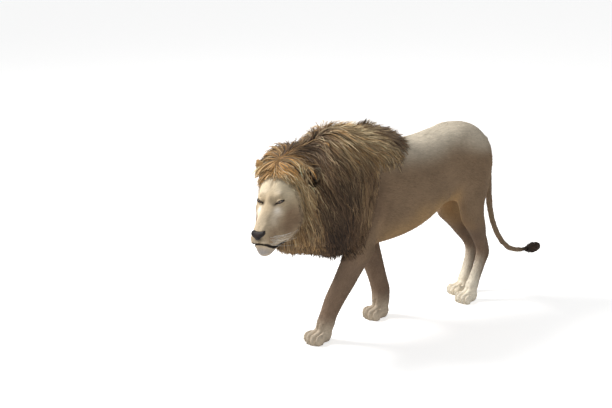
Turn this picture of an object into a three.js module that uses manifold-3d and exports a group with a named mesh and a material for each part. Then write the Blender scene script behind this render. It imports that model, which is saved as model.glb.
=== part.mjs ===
// A walking male lion at life size, as one still figure parted into its named body parts.
// Millimetres, +Z up. The lion faces -Y and its left side is +X.
import * as THREE from "three";
import { mergeVertices } from "three/addons/utils/BufferGeometryUtils.js";
import Module from "manifold-3d";

const wasm = await Module();
wasm.setup();

// ---- Driving dimensions ----
const GAP = 0.35; // clearance between two touching parts
const CLEARANCE = 0.7; // how far a part's bed is opened round it
const MARCH = 8; // step of the search for the surface along a ray
const HALVINGS = 12; // halvings that then close in on it

const SHOULDER_X = 118; // half the distance between the two shoulder points
const HIP_X = 92; // half the distance between the two hip joints

// The trunk's cross-sections: place along the body, back line, belly line, half width, widest height.
const TRUNK = [
  { y: -1090, top: 880, belly: 590, half: 120, widest: 730 },
  { y: -960, top: 985, belly: 482, half: 178, widest: 715 },
  { y: -800, top: 1035, belly: 448, half: 200, widest: 715 },
  { y: -620, top: 1008, belly: 452, half: 214, widest: 715 },
  { y: -460, top: 978, belly: 486, half: 206, widest: 725 },
  { y: -330, top: 996, belly: 540, half: 178, widest: 765 },
  { y: -200, top: 1020, belly: 600, half: 160, widest: 810 },
  { y: -80, top: 1026, belly: 640, half: 148, widest: 840 },
  { y: 30, top: 984, belly: 680, half: 118, widest: 840 },
  { y: 95, top: 922, belly: 730, half: 76, widest: 830 },
];
const TRUNK_SQUARENESS = 2.3; // 2 is a plain ellipse

// The joints of each leg, from the trunk down to the knuckles, and where its paw stands.
// Its room is the box that takes it off the body, and its cuts part it at its joints.
const FORELEGS = {
  foreleg_left: {
    side: 1,
    blade: [88, -790, 925],
    shoulder: [SHOULDER_X, -1000, 730],
    elbow: [128, -892, 508],
    wrist: [50, -1030, 190],
    knuckle: [26, -1058, 72],
    paw: [20, -1078],
    turn: 6,
    room: { top: [134, -920, 555], foot: [25, -1070, 0], width: 180, depth: 220 },
    cuts: [
      { at: [106, -930, 430], way: [0.2, 0.35, 1] },
      { at: [36, -1045, 112], way: [0.1, 0.1, 1] },
    ],
  },
  foreleg_right: {
    side: -1,
    blade: [-88, -800, 930],
    shoulder: [-SHOULDER_X, -915, 700],
    elbow: [-122, -655, 500],
    wrist: [-66, -584, 150],
    knuckle: [-60, -590, 68],
    paw: [-58, -612],
    turn: 2,
    room: { top: [-130, -700, 555], foot: [-62, -600, 0], width: 180, depth: 220 },
    cuts: [
      { at: [-110, -640, 420], way: [-0.15, -0.2, 1] },
      { at: [-62, -582, 108], way: [0, 0.2, 1] },
    ],
  },
};
const HINDLEGS = {
  hindleg_left: {
    side: 1,
    hip: [HIP_X, -62, 815],
    knee: [116, -98, 520],
    hock: [82, 54, 268],
    knuckle: [74, -30, 72],
    paw: [74, -52],
    turn: 5,
    room: { top: [128, -80, 690], foot: [97, -30, 0], width: 170, depth: 400 },
    cuts: [
      { at: [108, -60, 470], way: [0, -0.45, 1] },
      { at: [82, 40, 250], way: [0, 0.35, 1] },
      { at: [74, -22, 106], way: [0, 0.3, 1] },
    ],
  },
  hindleg_right: {
    side: -1,
    hip: [-HIP_X, -55, 815],
    knee: [-118, -52, 505],
    hock: [-66, 128, 252],
    knuckle: [-50, 44, 70],
    paw: [-50, 18],
    turn: -4,
    room: { top: [-128, -70, 690], foot: [-73, 60, 0], width: 170, depth: 420 },
    cuts: [
      { at: [-108, -20, 455], way: [0, -0.6, 1] },
      { at: [-66, 112, 234], way: [0, 0.3, 1] },
      { at: [-52, 46, 104], way: [0, 0.3, 1] },
    ],
  },
};
// Where the body and the tail are parted: a point of each plane, and the way its front faces.
const CUTS = {
  head: [0, 305, 0], // in the head's own frame
  neck: { at: [0, -1000, 880], way: [0, -0.94, 0.34] },
  chest: -500,
  loin: -265,
  tailBase: [[0, 158, 640], [0, -0.1, 1]],
  tailMiddle: [[0, 262, 305], [0, -0.66, 0.75]],
};
const FOREPAW = { width: 128, length: 162, height: 92, toe: 25 };
const HINDPAW = { width: 112, length: 152, height: 84, toe: 22 };
const TOES = [-1.5, -0.5, 0.5, 1.5]; // their places across the paw, in toe spacings

// The head's own frame has its origin at the nose tip: x left, y back towards the skull, z up.
const HEAD = {
  nose: [156, -1564, 688],
  turn: 31.5,
  nod: 12.5,
  lean: -1.5,
  scale: 1.09,
};
const SKULL = [
  { y: 4, top: 2, belly: -64, half: 29, widest: -36 },
  { y: 24, top: 14, belly: -90, half: 41, widest: -48 },
  { y: 58, top: 30, belly: -115, half: 51, widest: -56 },
  { y: 100, top: 46, belly: -124, half: 56, widest: -54 },
  { y: 136, top: 62, belly: -128, half: 62, widest: -46 },
  { y: 170, top: 89, belly: -130, half: 68, widest: -28 },
  { y: 215, top: 124, belly: -128, half: 82, widest: -8 },
  { y: 255, top: 143, belly: -122, half: 98, widest: 0 },
  { y: 300, top: 150, belly: -110, half: 100, widest: 10 },
  { y: 350, top: 138, belly: -92, half: 86, widest: 18 },
];
const SKULL_SQUARENESS = 2.2;
// The small parts of the head, in its own frame; an ear has its splay and its turn in degrees.
const EYE = { x: 41, y: 177, z: 65, radius: 19.5 };
const NOSE_PAD = { width: 58, height: 33, depth: 24, reach: 4, rise: 9, tilt: -12 };
const MOUTH = { route: [[-12, -50], [30, -74], [84, -98], [140, -104]], slit: 2.4, depth: 150 };
const EAR = { width: 86, height: 124, depth: 52, wall: 11 };
const EARS = {
  left: { place: [121, 356, 98], splay: 50, turn: 34 },
  right: { place: [-90, 356, 112], splay: -26, turn: -58 },
};

// The tail's route in the middle plane, and its radius there.
const TAIL = [
  { y: 50, z: 905, radius: 40 },
  { y: 116, z: 862, radius: 33 },
  { y: 148, z: 740, radius: 25 },
  { y: 164, z: 590, radius: 20 },
  { y: 192, z: 445, radius: 18.5 },
  { y: 250, z: 325, radius: 17.5 },
  { y: 330, z: 232, radius: 17 },
  { y: 425, z: 186, radius: 16 },
  { y: 525, z: 174, radius: 14 },
];
const TUFT = { y: 566, z: 172, length: 150, radius: 27, bed: 1.2 };

// ---- Solids from geometry, and cuts ----
function solidOf(geometry) {
  const bare = geometry.clone();
  bare.deleteAttribute("normal");
  bare.deleteAttribute("uv");
  const merged = mergeVertices(bare, 1e-3);
  const corners = [];
  for (let i = 0; i < merged.index.count; i += 3) {
    const [a, b, c] = [0, 1, 2].map((k) => merged.index.getX(i + k));
    if (a !== b && b !== c && c !== a) corners.push(a, b, c);
  }
  return new wasm.Manifold(
    new wasm.Mesh({
      numProp: 3,
      vertProperties: merged.attributes.position.array,
      triVerts: new Uint32Array(corners),
    }),
  );
}

function geometryOf(solid) {
  const mesh = solid.getMesh();
  const places = new Float32Array(mesh.numVert * 3);
  for (let i = 0; i < mesh.numVert; i++) {
    const start = i * mesh.numProp;
    places.set(mesh.vertProperties.subarray(start, start + 3), i * 3);
  }
  const geometry = new THREE.BufferGeometry();
  geometry.setAttribute("position", new THREE.BufferAttribute(places, 3));
  geometry.setIndex(new THREE.BufferAttribute(mesh.triVerts, 1));
  return geometry;
}

// The largest body of a solid, without the crumbs that a cut leaves.
function largest(solid) {
  return solid.decompose().reduce((a, b) => (b.volume() > a.volume() ? b : a));
}

// Parts a solid by a thin plane cut, and gives the side that the normal points to first.
function split(solid, point, direction) {
  const normal = new THREE.Vector3(...direction).normalize();
  const offset = normal.dot(new THREE.Vector3(...point));
  const ahead = solid.trimByPlane(normal.toArray(), offset + GAP / 2);
  const behind = solid.trimByPlane(normal.clone().negate().toArray(), GAP / 2 - offset);
  return [ahead, behind];
}

const joined = (solids) => solids.reduce((all, next) => all.add(next));

// ---- The flesh as a smooth field: below zero inside, above zero outside ----
const BODY_FRAME = new THREE.Matrix4();
const [X_WAY, Y_WAY, Z_WAY] = [0, 1, 2].map((axis) => new THREE.Vector3().setComponent(axis, 1));
const radians = THREE.MathUtils.degToRad;
const HEAD_FRAME = new THREE.Matrix4().compose(
  new THREE.Vector3(...HEAD.nose),
  new THREE.Quaternion().setFromEuler(
    new THREE.Euler(radians(HEAD.nod), radians(HEAD.lean), radians(HEAD.turn), "ZXY"),
  ),
  new THREE.Vector3(HEAD.scale, HEAD.scale, HEAD.scale),
);
const inHead = (x, y, z) => new THREE.Vector3(x, y, z).applyMatrix4(HEAD_FRAME);
const headWay = (x, y, z) => new THREE.Vector3(x, y, z).transformDirection(HEAD_FRAME);

// A muscle is a round cone between two points, stretched along its frame's own axes.
function muscle(from, to, radii, { stretch = [1, 1, 1], blend = 45, frame = BODY_FRAME } = {}) {
  const toLocal = frame.clone().invert();
  const scale = frame.getMaxScaleOnAxis();
  const start = new THREE.Vector3(...from);
  const run = new THREE.Vector3(...to).sub(start);
  const runSquared = Math.max(run.lengthSq(), 1e-9);
  const widths = new THREE.Vector3(...stretch);
  const q = new THREE.Vector3();
  return {
    blend,
    distance(p) {
      q.copy(p).applyMatrix4(toLocal).sub(start);
      const t = THREE.MathUtils.clamp(q.dot(run) / runSquared, 0, 1);
      q.addScaledVector(run, -t).divide(widths);
      return (q.length() - THREE.MathUtils.lerp(radii[0], radii[1], t)) * scale;
    },
  };
}

// A barrel runs along its frame's Y through the cross-sections it is given.
function barrel(sections, squareness, { blend = 60, frame = BODY_FRAME } = {}) {
  const toLocal = frame.clone().invert();
  const scale = frame.getMaxScaleOnAxis();
  const rows = sections.flatMap((s) => [s.top, s.belly, s.half, s.widest]);
  const along = new THREE.CubicInterpolant(sections.map((s) => s.y), rows, 4);
  const first = sections[0].y;
  const last = sections.at(-1).y;
  const q = new THREE.Vector3();
  return {
    blend,
    distance(p) {
      q.copy(p).applyMatrix4(toLocal);
      const y = THREE.MathUtils.clamp(q.y, first, last);
      const [top, belly, half, widest] = along.evaluate(y);
      const rise = q.z - widest;
      const tall = rise > 0 ? top - widest : widest - belly;
      const across = Math.abs(q.x / half) ** squareness;
      const up = Math.abs(rise / tall) ** squareness;
      const out = ((across + up) ** (1 / squareness) - 1) * Math.min(half, tall);
      return (q.y === y ? out : Math.hypot(Math.max(out, 0), q.y - y)) * scale;
    },
  };
}

// The smooth union of forms: near a meeting the surface fills out by the form's blend.
function flow(forms) {
  return (p) =>
    forms.reduce((sum, form) => {
      const d = form.distance(p);
      const overlap = Math.max(form.blend - Math.abs(sum - d), 0) / form.blend;
      return Math.min(sum, d) - (overlap * overlap * form.blend) / 4;
    }, 1e4);
}

const mirrored = (make) => [1, -1].map(make);
const beside = ([x, y, z], dx, dy, dz) => [x + dx, y + dy, z + dz];

function forelegForms({ side, blade, shoulder, elbow, wrist, knuckle }) {
  const tricepsTop = beside(blade, side * 14, -20, -150);
  const flat = { stretch: [0.62, 1, 1] };
  return [
    muscle(blade, shoulder, [72, 88], flat),
    muscle(shoulder, elbow, [86, 62], { stretch: [0.8, 1, 1] }),
    muscle(tricepsTop, beside(elbow, 0, 14, 20), [84, 46], { stretch: [0.66, 1, 1] }),
    muscle(elbow, beside(elbow, 0, 30, 12), [46, 32], { blend: 25 }),
    muscle(beside(elbow, 0, -14, -20), wrist, [74, 52], { blend: 35 }),
    muscle(wrist, knuckle, [52, 48], { stretch: [1.04, 1, 1], blend: 25 }),
  ];
}

function hindlegForms({ side, hip, knee, hock, knuckle }) {
  const seat = beside(hip, -side * 16, 56, -10);
  const calf = beside(knee, -side * 8, 62, -22);
  return [
    muscle(beside(hip, 0, -30, 60), hip, [86, 112], { stretch: [0.72, 1, 1] }),
    muscle(hip, knee, [118, 74], { stretch: [0.72, 1, 1] }),
    muscle(seat, beside(knee, -side * 6, 84, 70), [84, 50], { stretch: [0.72, 1, 1] }),
    muscle(beside(hip, side * 14, -150, -90), beside(knee, 0, -8, 40), [46, 48], {
      stretch: [0.6, 1, 1],
      blend: 60,
    }),
    muscle(knee, hock, [66, 38], { stretch: [0.86, 1, 1], blend: 35 }),
    muscle(calf, beside(hock, 0, 10, 30), [52, 24], { stretch: [0.8, 1, 1], blend: 35 }),
    muscle(hock, beside(hock, 0, 24, 14), [36, 22], { blend: 20 }),
    muscle(hock, knuckle, [40, 40], { blend: 25 }),
  ];
}

const headOption = (stretch, blend = 28) => ({ stretch, blend, frame: HEAD_FRAME });
const HEAD_FORMS = [
  barrel(SKULL, SKULL_SQUARENESS, { blend: 20, frame: HEAD_FRAME }),
  muscle([0, 26, -12], [0, 160, 52], [24, 24], headOption([1.25, 1, 1], 14)),
  muscle([0, 44, -98], [0, 130, -96], [25, 34], headOption([1.25, 1, 1], 14)),
  ...mirrored((s) =>
    muscle([s * 20, 30, -48], [s * 31, 92, -58], [24, 32], headOption([1, 1, 1.08], 14)),
  ),
  ...mirrored((s) =>
    muscle([s * 60, 150, -86], [s * 76, 260, -48], [26, 42], headOption([1, 1, 1], 30)),
  ),
  ...mirrored((s) =>
    muscle([s * 46, 164, 24], [s * 72, 245, 20], [20, 26], headOption([1, 1, 1], 22)),
  ),
  ...mirrored((s) =>
    muscle([s * 28, 172, 84], [s * 50, 202, 88], [15, 17], headOption([1, 1, 1], 18)),
  ),
];

const NECK_FORMS = [
  muscle([0, -850, 800], [-18, -1080, 800], [196, 158], { stretch: [0.86, 1, 1] }),
  muscle([-18, -1080, 800], inHead(0, 330, 10).toArray(), [158, 118], { stretch: [0.9, 1, 1] }),
];

const TRUNK_FORM = barrel(TRUNK, TRUNK_SQUARENESS);
const LEG_FORMS = {};
for (const [name, leg] of Object.entries(FORELEGS)) LEG_FORMS[name] = forelegForms(leg);
for (const [name, leg] of Object.entries(HINDLEGS)) LEG_FORMS[name] = hindlegForms(leg);

// The trunk's own surface, with the neck and the tops of the legs bulging it by a little.
const UPPER_FORMS = 3; // the first forms of each leg lie against the trunk
const LIMB_BULGE = 62;
const trunkForms = [
  TRUNK_FORM,
  ...NECK_FORMS,
  ...Object.values(LEG_FORMS).flatMap((forms) => forms.slice(0, UPPER_FORMS)),
];
const trunkFlow = flow(trunkForms);
const trunkField = (p) => Math.max(trunkFlow(p), TRUNK_FORM.distance(p) - LIMB_BULGE);

// ---- Wrapping a closed surface round a spine ----
const point = new THREE.Vector3();
function reachOf(field, from, way, limit) {
  let near = 0;
  let far = MARCH;
  while (far < limit && field(point.copy(from).addScaledVector(way, far)) < 0) {
    near = far;
    far += MARCH;
  }
  for (let i = 0; i < HALVINGS; i++) {
    const middle = (near + far) / 2;
    if (field(point.copy(from).addScaledVector(way, middle)) < 0) near = middle;
    else far = middle;
  }
  return near;
}

// Each vertex of a capsule runs out from the spine, along its own ray, to the field's surface.
function wrap({ field, spine, front, around, along, cap, limit }, grow = 0) {
  const curve = new THREE.CatmullRomCurve3(spine.map((p) => new THREE.Vector3(...p)));
  const geometry = new THREE.CapsuleGeometry(1, 2, cap, around, along);
  const place = geometry.getAttribute("position");
  const ahead = new THREE.Vector3(...front);
  for (let i = 0; i < place.count; i++) {
    const height = THREE.MathUtils.clamp(place.getY(i), -1, 1);
    const t = (height + 1) / 2;
    const tangent = curve.getTangentAt(t);
    const facing = ahead.clone().addScaledVector(tangent, -ahead.dot(tangent)).normalize();
    const across = tangent.clone().cross(facing);
    const way = new THREE.Vector3()
      .addScaledVector(across, place.getX(i))
      .addScaledVector(tangent, place.getY(i) - height)
      .addScaledVector(facing, place.getZ(i))
      .normalize();
    const from = curve.getPointAt(t);
    const out = reachOf(field, from, way, limit) + grow;
    place.setXYZ(i, ...from.addScaledVector(way, out).toArray());
  }
  return solidOf(geometry);
}

const WRAPS = {
  trunk: {
    field: trunkField,
    spine: [[0, -985, 745], [0, -700, 740], [0, -350, 790], [0, 10, 830]],
    front: [0, 0, 1],
    around: 18,
    along: 12,
    cap: 2,
    limit: 310,
  },
  neck: {
    field: flow(NECK_FORMS),
    spine: [[0, -900, 795], [-18, -1080, 790], inHead(0, 300, 10).toArray()],
    front: [0, 0, 1],
    around: 12,
    along: 3,
    cap: 1,
    limit: 230,
  },
  head: {
    field: flow(HEAD_FORMS),
    spine: [[0, 270, 8], [0, 205, 0], [0, 125, -30], [0, 50, -50]].map((p) =>
      inHead(...p).toArray(),
    ),
    front: headWay(0, 0, 1).toArray(),
    around: 22,
    along: 13,
    cap: 4,
    limit: 165,
  },
};
for (const [name, leg] of Object.entries(FORELEGS)) {
  WRAPS[name] = {
    spine: [beside(leg.shoulder, 0, 60, 40), leg.elbow, leg.wrist, leg.knuckle],
    front: [0, -1, 0],
    field: flow(LEG_FORMS[name]),
    around: 10,
    along: 10,
    cap: 1,
    limit: 130,
  };
}
for (const [name, leg] of Object.entries(HINDLEGS)) {
  WRAPS[name] = {
    spine: [beside(leg.hip, 0, 20, 20), leg.knee, leg.hock, leg.knuckle],
    front: [0, -1, 0],
    field: flow(LEG_FORMS[name]),
    around: 10,
    along: 12,
    cap: 1,
    limit: 140,
  };
}

// A ball stretched to the given half sizes, turned about Z, at a place.
function ball(centre, halves, turn = 0, detail = [8, 4]) {
  const geometry = new THREE.SphereGeometry(1, ...detail);
  geometry.rotateX(Math.PI / 2);
  geometry.scale(...halves);
  geometry.rotateZ(radians(turn));
  geometry.translate(...centre);
  return solidOf(geometry);
}

// A paw: the pad, and four toes fanned in front of it.
function paw({ paw: [x, y], turn }, { width, length, height, toe }) {
  const spacing = (width - 2 * toe) / 3;
  const spread = new THREE.Matrix4().makeRotationZ(radians(turn)).setPosition(x, y, 0);
  const at = (dx, dy, dz) => new THREE.Vector3(dx, dy, dz).applyMatrix4(spread).toArray();
  const pad = ball(at(0, 14, height * 0.36), [width * 0.44, length * 0.37, height * 0.52], turn);
  const toes = TOES.map((place) => {
    const reach = length * (Math.abs(place) > 1 ? 0.28 : 0.345);
    const halves = [toe, length * 0.235, height * 0.42];
    return ball(at(place * spacing, -reach, height * 0.3), halves, turn + place * 5, [6, 4]);
  });
  return joined([pad, ...toes]);
}

// A tube of changing radius along a route in the middle plane, closed at both ends.
function tailTube(route, grow = 0) {
  const curve = new THREE.CatmullRomCurve3(route.map(({ y, z }) => new THREE.Vector3(0, y, z)));
  const radii = new THREE.CubicInterpolant(
    route.map((_, i) => i / (route.length - 1)),
    route.map(({ radius }) => radius),
    1,
  );
  const geometry = new THREE.CapsuleGeometry(1, 2, 1, 6, 13);
  const place = geometry.getAttribute("position");
  for (let i = 0; i < place.count; i++) {
    const height = THREE.MathUtils.clamp(place.getY(i), -1, 1);
    const t = (height + 1) / 2;
    const tangent = curve.getTangent(t);
    const across = new THREE.Vector3(1, 0, 0);
    const normal = across.clone().cross(tangent);
    const radius = radii.evaluate(t)[0] + grow;
    const centre = curve.getPoint(t);
    centre.addScaledVector(across, place.getX(i) * radius);
    centre.addScaledVector(tangent, (place.getY(i) - height) * radius);
    centre.addScaledVector(normal, place.getZ(i) * radius);
    place.setXYZ(i, ...centre.toArray());
  }
  return solidOf(geometry);
}

// ---- The mane: hair out to its tips, over the crown, neck, chest and shoulders ----
const MANE_FORMS = [
  muscle([0, 225, -25], [0, 330, 0], [52, 84], headOption([1, 1, 1], 20)),
  muscle([0, 350, 144], [0, 435, 152], [66, 78], headOption([1.55, 1, 1], 40)),
  ...mirrored((s) =>
    muscle([s * 68, 378, 60], [s * 64, 366, -74], [56, 62], headOption([1, 1, 1], 50)),
  ),
  muscle([0, 180, -128], [0, 310, -180], [38, 72], headOption([1.15, 1, 1], 40)),
  muscle([-34, -1130, 806], [0, -1045, 800], [198, 270], { stretch: [0.88, 1, 1], blend: 70 }),
  muscle([44, -1235, 630], [10, -1040, 590], [84, 150], { stretch: [1.1, 1, 1], blend: 80 }),
  muscle([0, -1015, 1000], [0, -860, 986], [112, 88], { blend: 60 }),
  ...mirrored((s) => muscle([s * 105, -950, 890], [s * 112, -1000, 620], [106, 102])),
];
const MANE_WRAP = {
  field: flow(MANE_FORMS),
  spine: [inHead(0, 250, -20).toArray(), [-34, -1150, 800], [0, -930, 830]],
  front: [0, 0, 1],
  around: 18,
  along: 10,
  cap: 3,
  limit: 420,
};
const WITHERS = { centre: [0, -775, 938], halves: [172, 236, 134], tilt: -7 };

// ---- The small parts of the head ----
const headSolid = (geometry) => solidOf(geometry.applyMatrix4(HEAD_FRAME));

function eye(side, grow = 0) {
  const geometry = new THREE.SphereGeometry(EYE.radius + grow, 10, 6);
  return headSolid(geometry.translate(side * EYE.x, EYE.y, EYE.z));
}

// The nose leather: a rounded triangle with softened edges.
function nosePad(grow = 0) {
  const half = NOSE_PAD.width / 2;
  const drop = NOSE_PAD.height;
  const shape = new THREE.Shape();
  shape.moveTo(-half * 0.9, 0);
  shape.quadraticCurveTo(0, -half * 0.16, half * 0.9, 0);
  shape.quadraticCurveTo(half * 1.12, -drop * 0.3, half * 0.42, -drop * 0.66);
  shape.quadraticCurveTo(half * 0.2, -drop * 0.9, 0, -drop);
  shape.quadraticCurveTo(-half * 0.2, -drop * 0.9, -half * 0.42, -drop * 0.66);
  shape.quadraticCurveTo(-half * 1.12, -drop * 0.3, -half * 0.9, 0);
  const soft = { bevelSize: 3 + grow, bevelThickness: 4 + grow, bevelSegments: 1 };
  const geometry = new THREE.ExtrudeGeometry(shape, {
    depth: NOSE_PAD.depth,
    curveSegments: 3,
    ...soft,
  });
  geometry.translate(0, 0, -NOSE_PAD.depth);
  geometry.applyMatrix4(new THREE.Matrix4().makeBasis(X_WAY, Z_WAY, Y_WAY.clone().negate()));
  geometry.rotateX(radians(NOSE_PAD.tilt));
  return headSolid(geometry.translate(0, -NOSE_PAD.reach, NOSE_PAD.rise));
}

// The room of the lower jaw: all that lies below the mouth line, as far back as its corner.
function jawRoom(shift) {
  const route = new THREE.SplineCurve(MOUTH.route.map((p) => new THREE.Vector2(...p)));
  const line = route.getPoints(6).map((p) => new THREE.Vector2(p.x, p.y + shift));
  const [front, back] = [line[0].x - 60, line.at(-1).x + shift];
  const floor = line.at(-1).y - MOUTH.depth;
  line.at(-1).x = back;
  const corners = [new THREE.Vector2(back, floor), new THREE.Vector2(front, floor)];
  const start = new THREE.Vector2(front, line[0].y);
  const shape = new THREE.Shape([start, ...line, ...corners]);
  const depth = 2 * MOUTH.depth;
  const geometry = new THREE.ExtrudeGeometry(shape, { depth, bevelEnabled: false });
  geometry.translate(0, 0, -MOUTH.depth);
  return headSolid(geometry.applyMatrix4(new THREE.Matrix4().makeBasis(Y_WAY, Z_WAY, X_WAY)));
}

// One ear's shell is a ball with a smaller ball scooped out of its front.
function earBall({ place, splay, turn }, inset, forward) {
  const geometry = new THREE.SphereGeometry(1, 9, 6);
  const halves = [EAR.width / 2, EAR.depth / 2, EAR.height / 2].map((half) => half - inset);
  geometry.rotateX(Math.PI / 2);
  geometry.scale(...halves);
  geometry.translate(0, -forward, 0);
  geometry.rotateZ(radians(turn));
  geometry.rotateY(radians(splay));
  return headSolid(geometry.translate(...place));
}
const earShell = (ear) => earBall(ear, 0, 0).subtract(earBall(ear, EAR.wall, EAR.wall * 1.9));

// The hair of the withers: a long low ball, higher in front.
function withersHair() {
  const geometry = new THREE.SphereGeometry(1, 14, 8);
  geometry.scale(...WITHERS.halves);
  geometry.rotateX(radians(WITHERS.tilt));
  return solidOf(geometry.translate(...WITHERS.centre));
}

function tuftBall(grow = 0) {
  const halves = [TUFT.radius + grow, TUFT.length / 2, TUFT.radius + grow];
  return ball([0, TUFT.y, TUFT.z], halves, 0, [8, 6]);
}

// ---- The whole figure of flesh, and the cuts through it ----
function fleshSolid(grow = 0) {
  return joined(Object.values(WRAPS).map((form) => wrap(form, grow)));
}
const forepaws = Object.values(FORELEGS).map((leg) => paw(leg, FOREPAW));
const hindpaws = Object.values(HINDLEGS).map((leg) => paw(leg, HINDPAW));
let body = joined([fleshSolid(), ...forepaws, ...hindpaws]).trimByPlane([0, 0, 1], 0);

// A leg's room is a long box that starts at its top and runs down past its foot.
function legRoom({ room: { top, foot, width, depth } }, grow = 0) {
  const start = new THREE.Vector3(...top);
  const down = new THREE.Vector3(...foot).sub(start);
  const length = down.length() * 1.3;
  down.normalize();
  const facing = Y_WAY.clone().addScaledVector(down, -down.y).normalize();
  const geometry = new THREE.BoxGeometry(width + 2 * grow, length + 2 * grow, depth + 2 * grow);
  geometry.applyMatrix4(new THREE.Matrix4().makeBasis(down.clone().cross(facing), down, facing));
  return solidOf(geometry.translate(...start.addScaledVector(down, length / 2).toArray()));
}

const parts = {};
// Takes a leg off the body and parts it at its joints, from the top down.
function takeLeg(leg, names) {
  let rest = body.intersect(legRoom(leg));
  body = body.subtract(legRoom(leg, GAP));
  leg.cuts.forEach(({ at, way }, i) => {
    [parts[names[i]], rest] = split(rest, at, way);
  });
  parts[names.at(-1)] = rest;
}
for (const side of ["left", "right"]) {
  const foreNames = ["elbow", "forearm", "forepaw"].map((name) => `${name}_${side}`);
  const hindNames = ["thigh", "shank", "metatarsus", "hindpaw"].map((name) => `${name}_${side}`);
  takeLeg(FORELEGS[`foreleg_${side}`], foreNames);
  takeLeg(HINDLEGS[`hindleg_${side}`], hindNames);
}

let face;
[face, body] = split(body, inHead(...CUTS.head).toArray(), headWay(0, -1, 0).toArray());
[parts.neck, body] = split(body, CUTS.neck.at, CUTS.neck.way);
[parts.chest, body] = split(body, [0, CUTS.chest, 0], [0, -1, 0]);
[parts.loin, parts.rump] = split(body, [0, CUTS.loin, 0], [0, -1, 0]);

parts.eye_left = eye(1);
parts.eye_right = eye(-1);
parts.nose = nosePad();
const sockets = joined([eye(1, CLEARANCE), eye(-1, CLEARANCE), nosePad(CLEARANCE)]);
parts.head = face.subtract(jawRoom(MOUTH.slit / 2)).subtract(sockets);
parts.jaw = face.intersect(jawRoom(-MOUTH.slit / 2)).subtract(sockets);

const bed = fleshSolid(CLEARANCE);
parts.ear_left = earShell(EARS.left).subtract(bed);
parts.ear_right = earShell(EARS.right).subtract(bed);
const earRooms = joined(Object.values(EARS).map((ear) => earBall(ear, -GAP, 0)));
const hair = wrap(MANE_WRAP).add(withersHair());
parts.mane = hair.subtract(bed).subtract(earRooms);

let tail = tailTube(TAIL).subtract(bed);
[parts.tail_base, tail] = split(tail, ...CUTS.tailBase);
[parts.tail_middle, parts.tail_tip] = split(tail, ...CUTS.tailMiddle);
parts.tail_tuft = tuftBall().subtract(tailTube(TAIL, TUFT.bed));

// ---- The group of named parts, its origin at the middle of its box on the floor ----
const LOOKS = {
  mane: { color: "#5a4130", roughness: 0.95 },
  nose: { color: "#2a1d1a", roughness: 0.45 },
  eye_left: { color: "#8a6a2c", roughness: 0.1 },
  eye_right: { color: "#8a6a2c", roughness: 0.1 },
  tail_tuft: { color: "#2e2622", roughness: 0.95 },
};
const COAT_LOOK = { color: "#b0946c", roughness: 0.9 };

const root = new THREE.Group();
for (const [name, solid] of Object.entries(parts)) {
  const material = new THREE.MeshStandardMaterial({ ...(LOOKS[name] ?? COAT_LOOK), metalness: 0 });
  const mesh = new THREE.Mesh(geometryOf(largest(solid)), material);
  mesh.name = name;
  root.add(mesh);
}
const middle = new THREE.Box3().setFromObject(root).getCenter(new THREE.Vector3());
root.position.set(-middle.x, -middle.y, 0);
export default root;
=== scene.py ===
"""A life-size walking lion: one skin over its flesh, a short coat, a full mane, eyes, nose and whiskers."""
import logging
from collections.abc import Callable
from dataclasses import dataclass
from enum import Enum, IntEnum

import bmesh
import bpy
import numpy as np
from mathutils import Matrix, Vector
from mathutils.bvhtree import BVHTree
from mathutils.kdtree import KDTree


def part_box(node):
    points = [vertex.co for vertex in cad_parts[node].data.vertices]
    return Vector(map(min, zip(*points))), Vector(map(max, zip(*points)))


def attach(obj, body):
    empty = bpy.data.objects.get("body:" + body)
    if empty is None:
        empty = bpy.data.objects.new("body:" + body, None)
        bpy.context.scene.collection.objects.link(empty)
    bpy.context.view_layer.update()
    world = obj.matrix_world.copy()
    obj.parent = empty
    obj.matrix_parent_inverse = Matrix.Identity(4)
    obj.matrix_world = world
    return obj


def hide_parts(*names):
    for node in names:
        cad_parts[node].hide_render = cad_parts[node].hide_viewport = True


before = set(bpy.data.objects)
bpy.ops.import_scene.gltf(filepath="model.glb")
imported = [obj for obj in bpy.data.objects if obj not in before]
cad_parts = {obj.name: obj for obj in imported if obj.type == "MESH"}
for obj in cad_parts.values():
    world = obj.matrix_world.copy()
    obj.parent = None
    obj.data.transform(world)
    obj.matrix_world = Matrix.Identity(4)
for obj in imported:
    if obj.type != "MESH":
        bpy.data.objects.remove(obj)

log = logging.getLogger("lion")
Array = np.ndarray
Chance = np.random.Generator
Material = bpy.types.Material
Mesh = bpy.types.Mesh
NodeTree = bpy.types.NodeTree
Piece = bpy.types.Object
Place = tuple[float, float, float]
ROOT = "root"
SEED = 7
MM = 0.001


class Slot(Enum):
    """The record's material slots."""

    COAT = "coat"
    MANE = "mane"
    TUFT = "mane_dark"
    NOSE = "nose_leather"
    EYE = "eye"


class Side(Enum):
    """A side of the lion: its left is towards +X."""

    LEFT = 1
    RIGHT = -1

    def of(self, part: str) -> str:
        """The name of a part's node on this side."""
        return f"{part}_{self.name.lower()}"


LIMBS = ("elbow", "forearm", "forepaw", "thigh", "shank", "metatarsus", "hindpaw")
TRUNK = ("neck", "chest", "loin", "rump")
TAIL = ("tail_base", "tail_middle", "tail_tip")
HEAD = ("head", "jaw")
EARS = ("ear_left", "ear_right")
LIMB_NODES = tuple(side.of(limb) for limb in LIMBS for side in Side)
FLESH = TRUNK + TAIL + HEAD + LIMB_NODES
FILL = ("nose", "eye_left", "eye_right")


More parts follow.
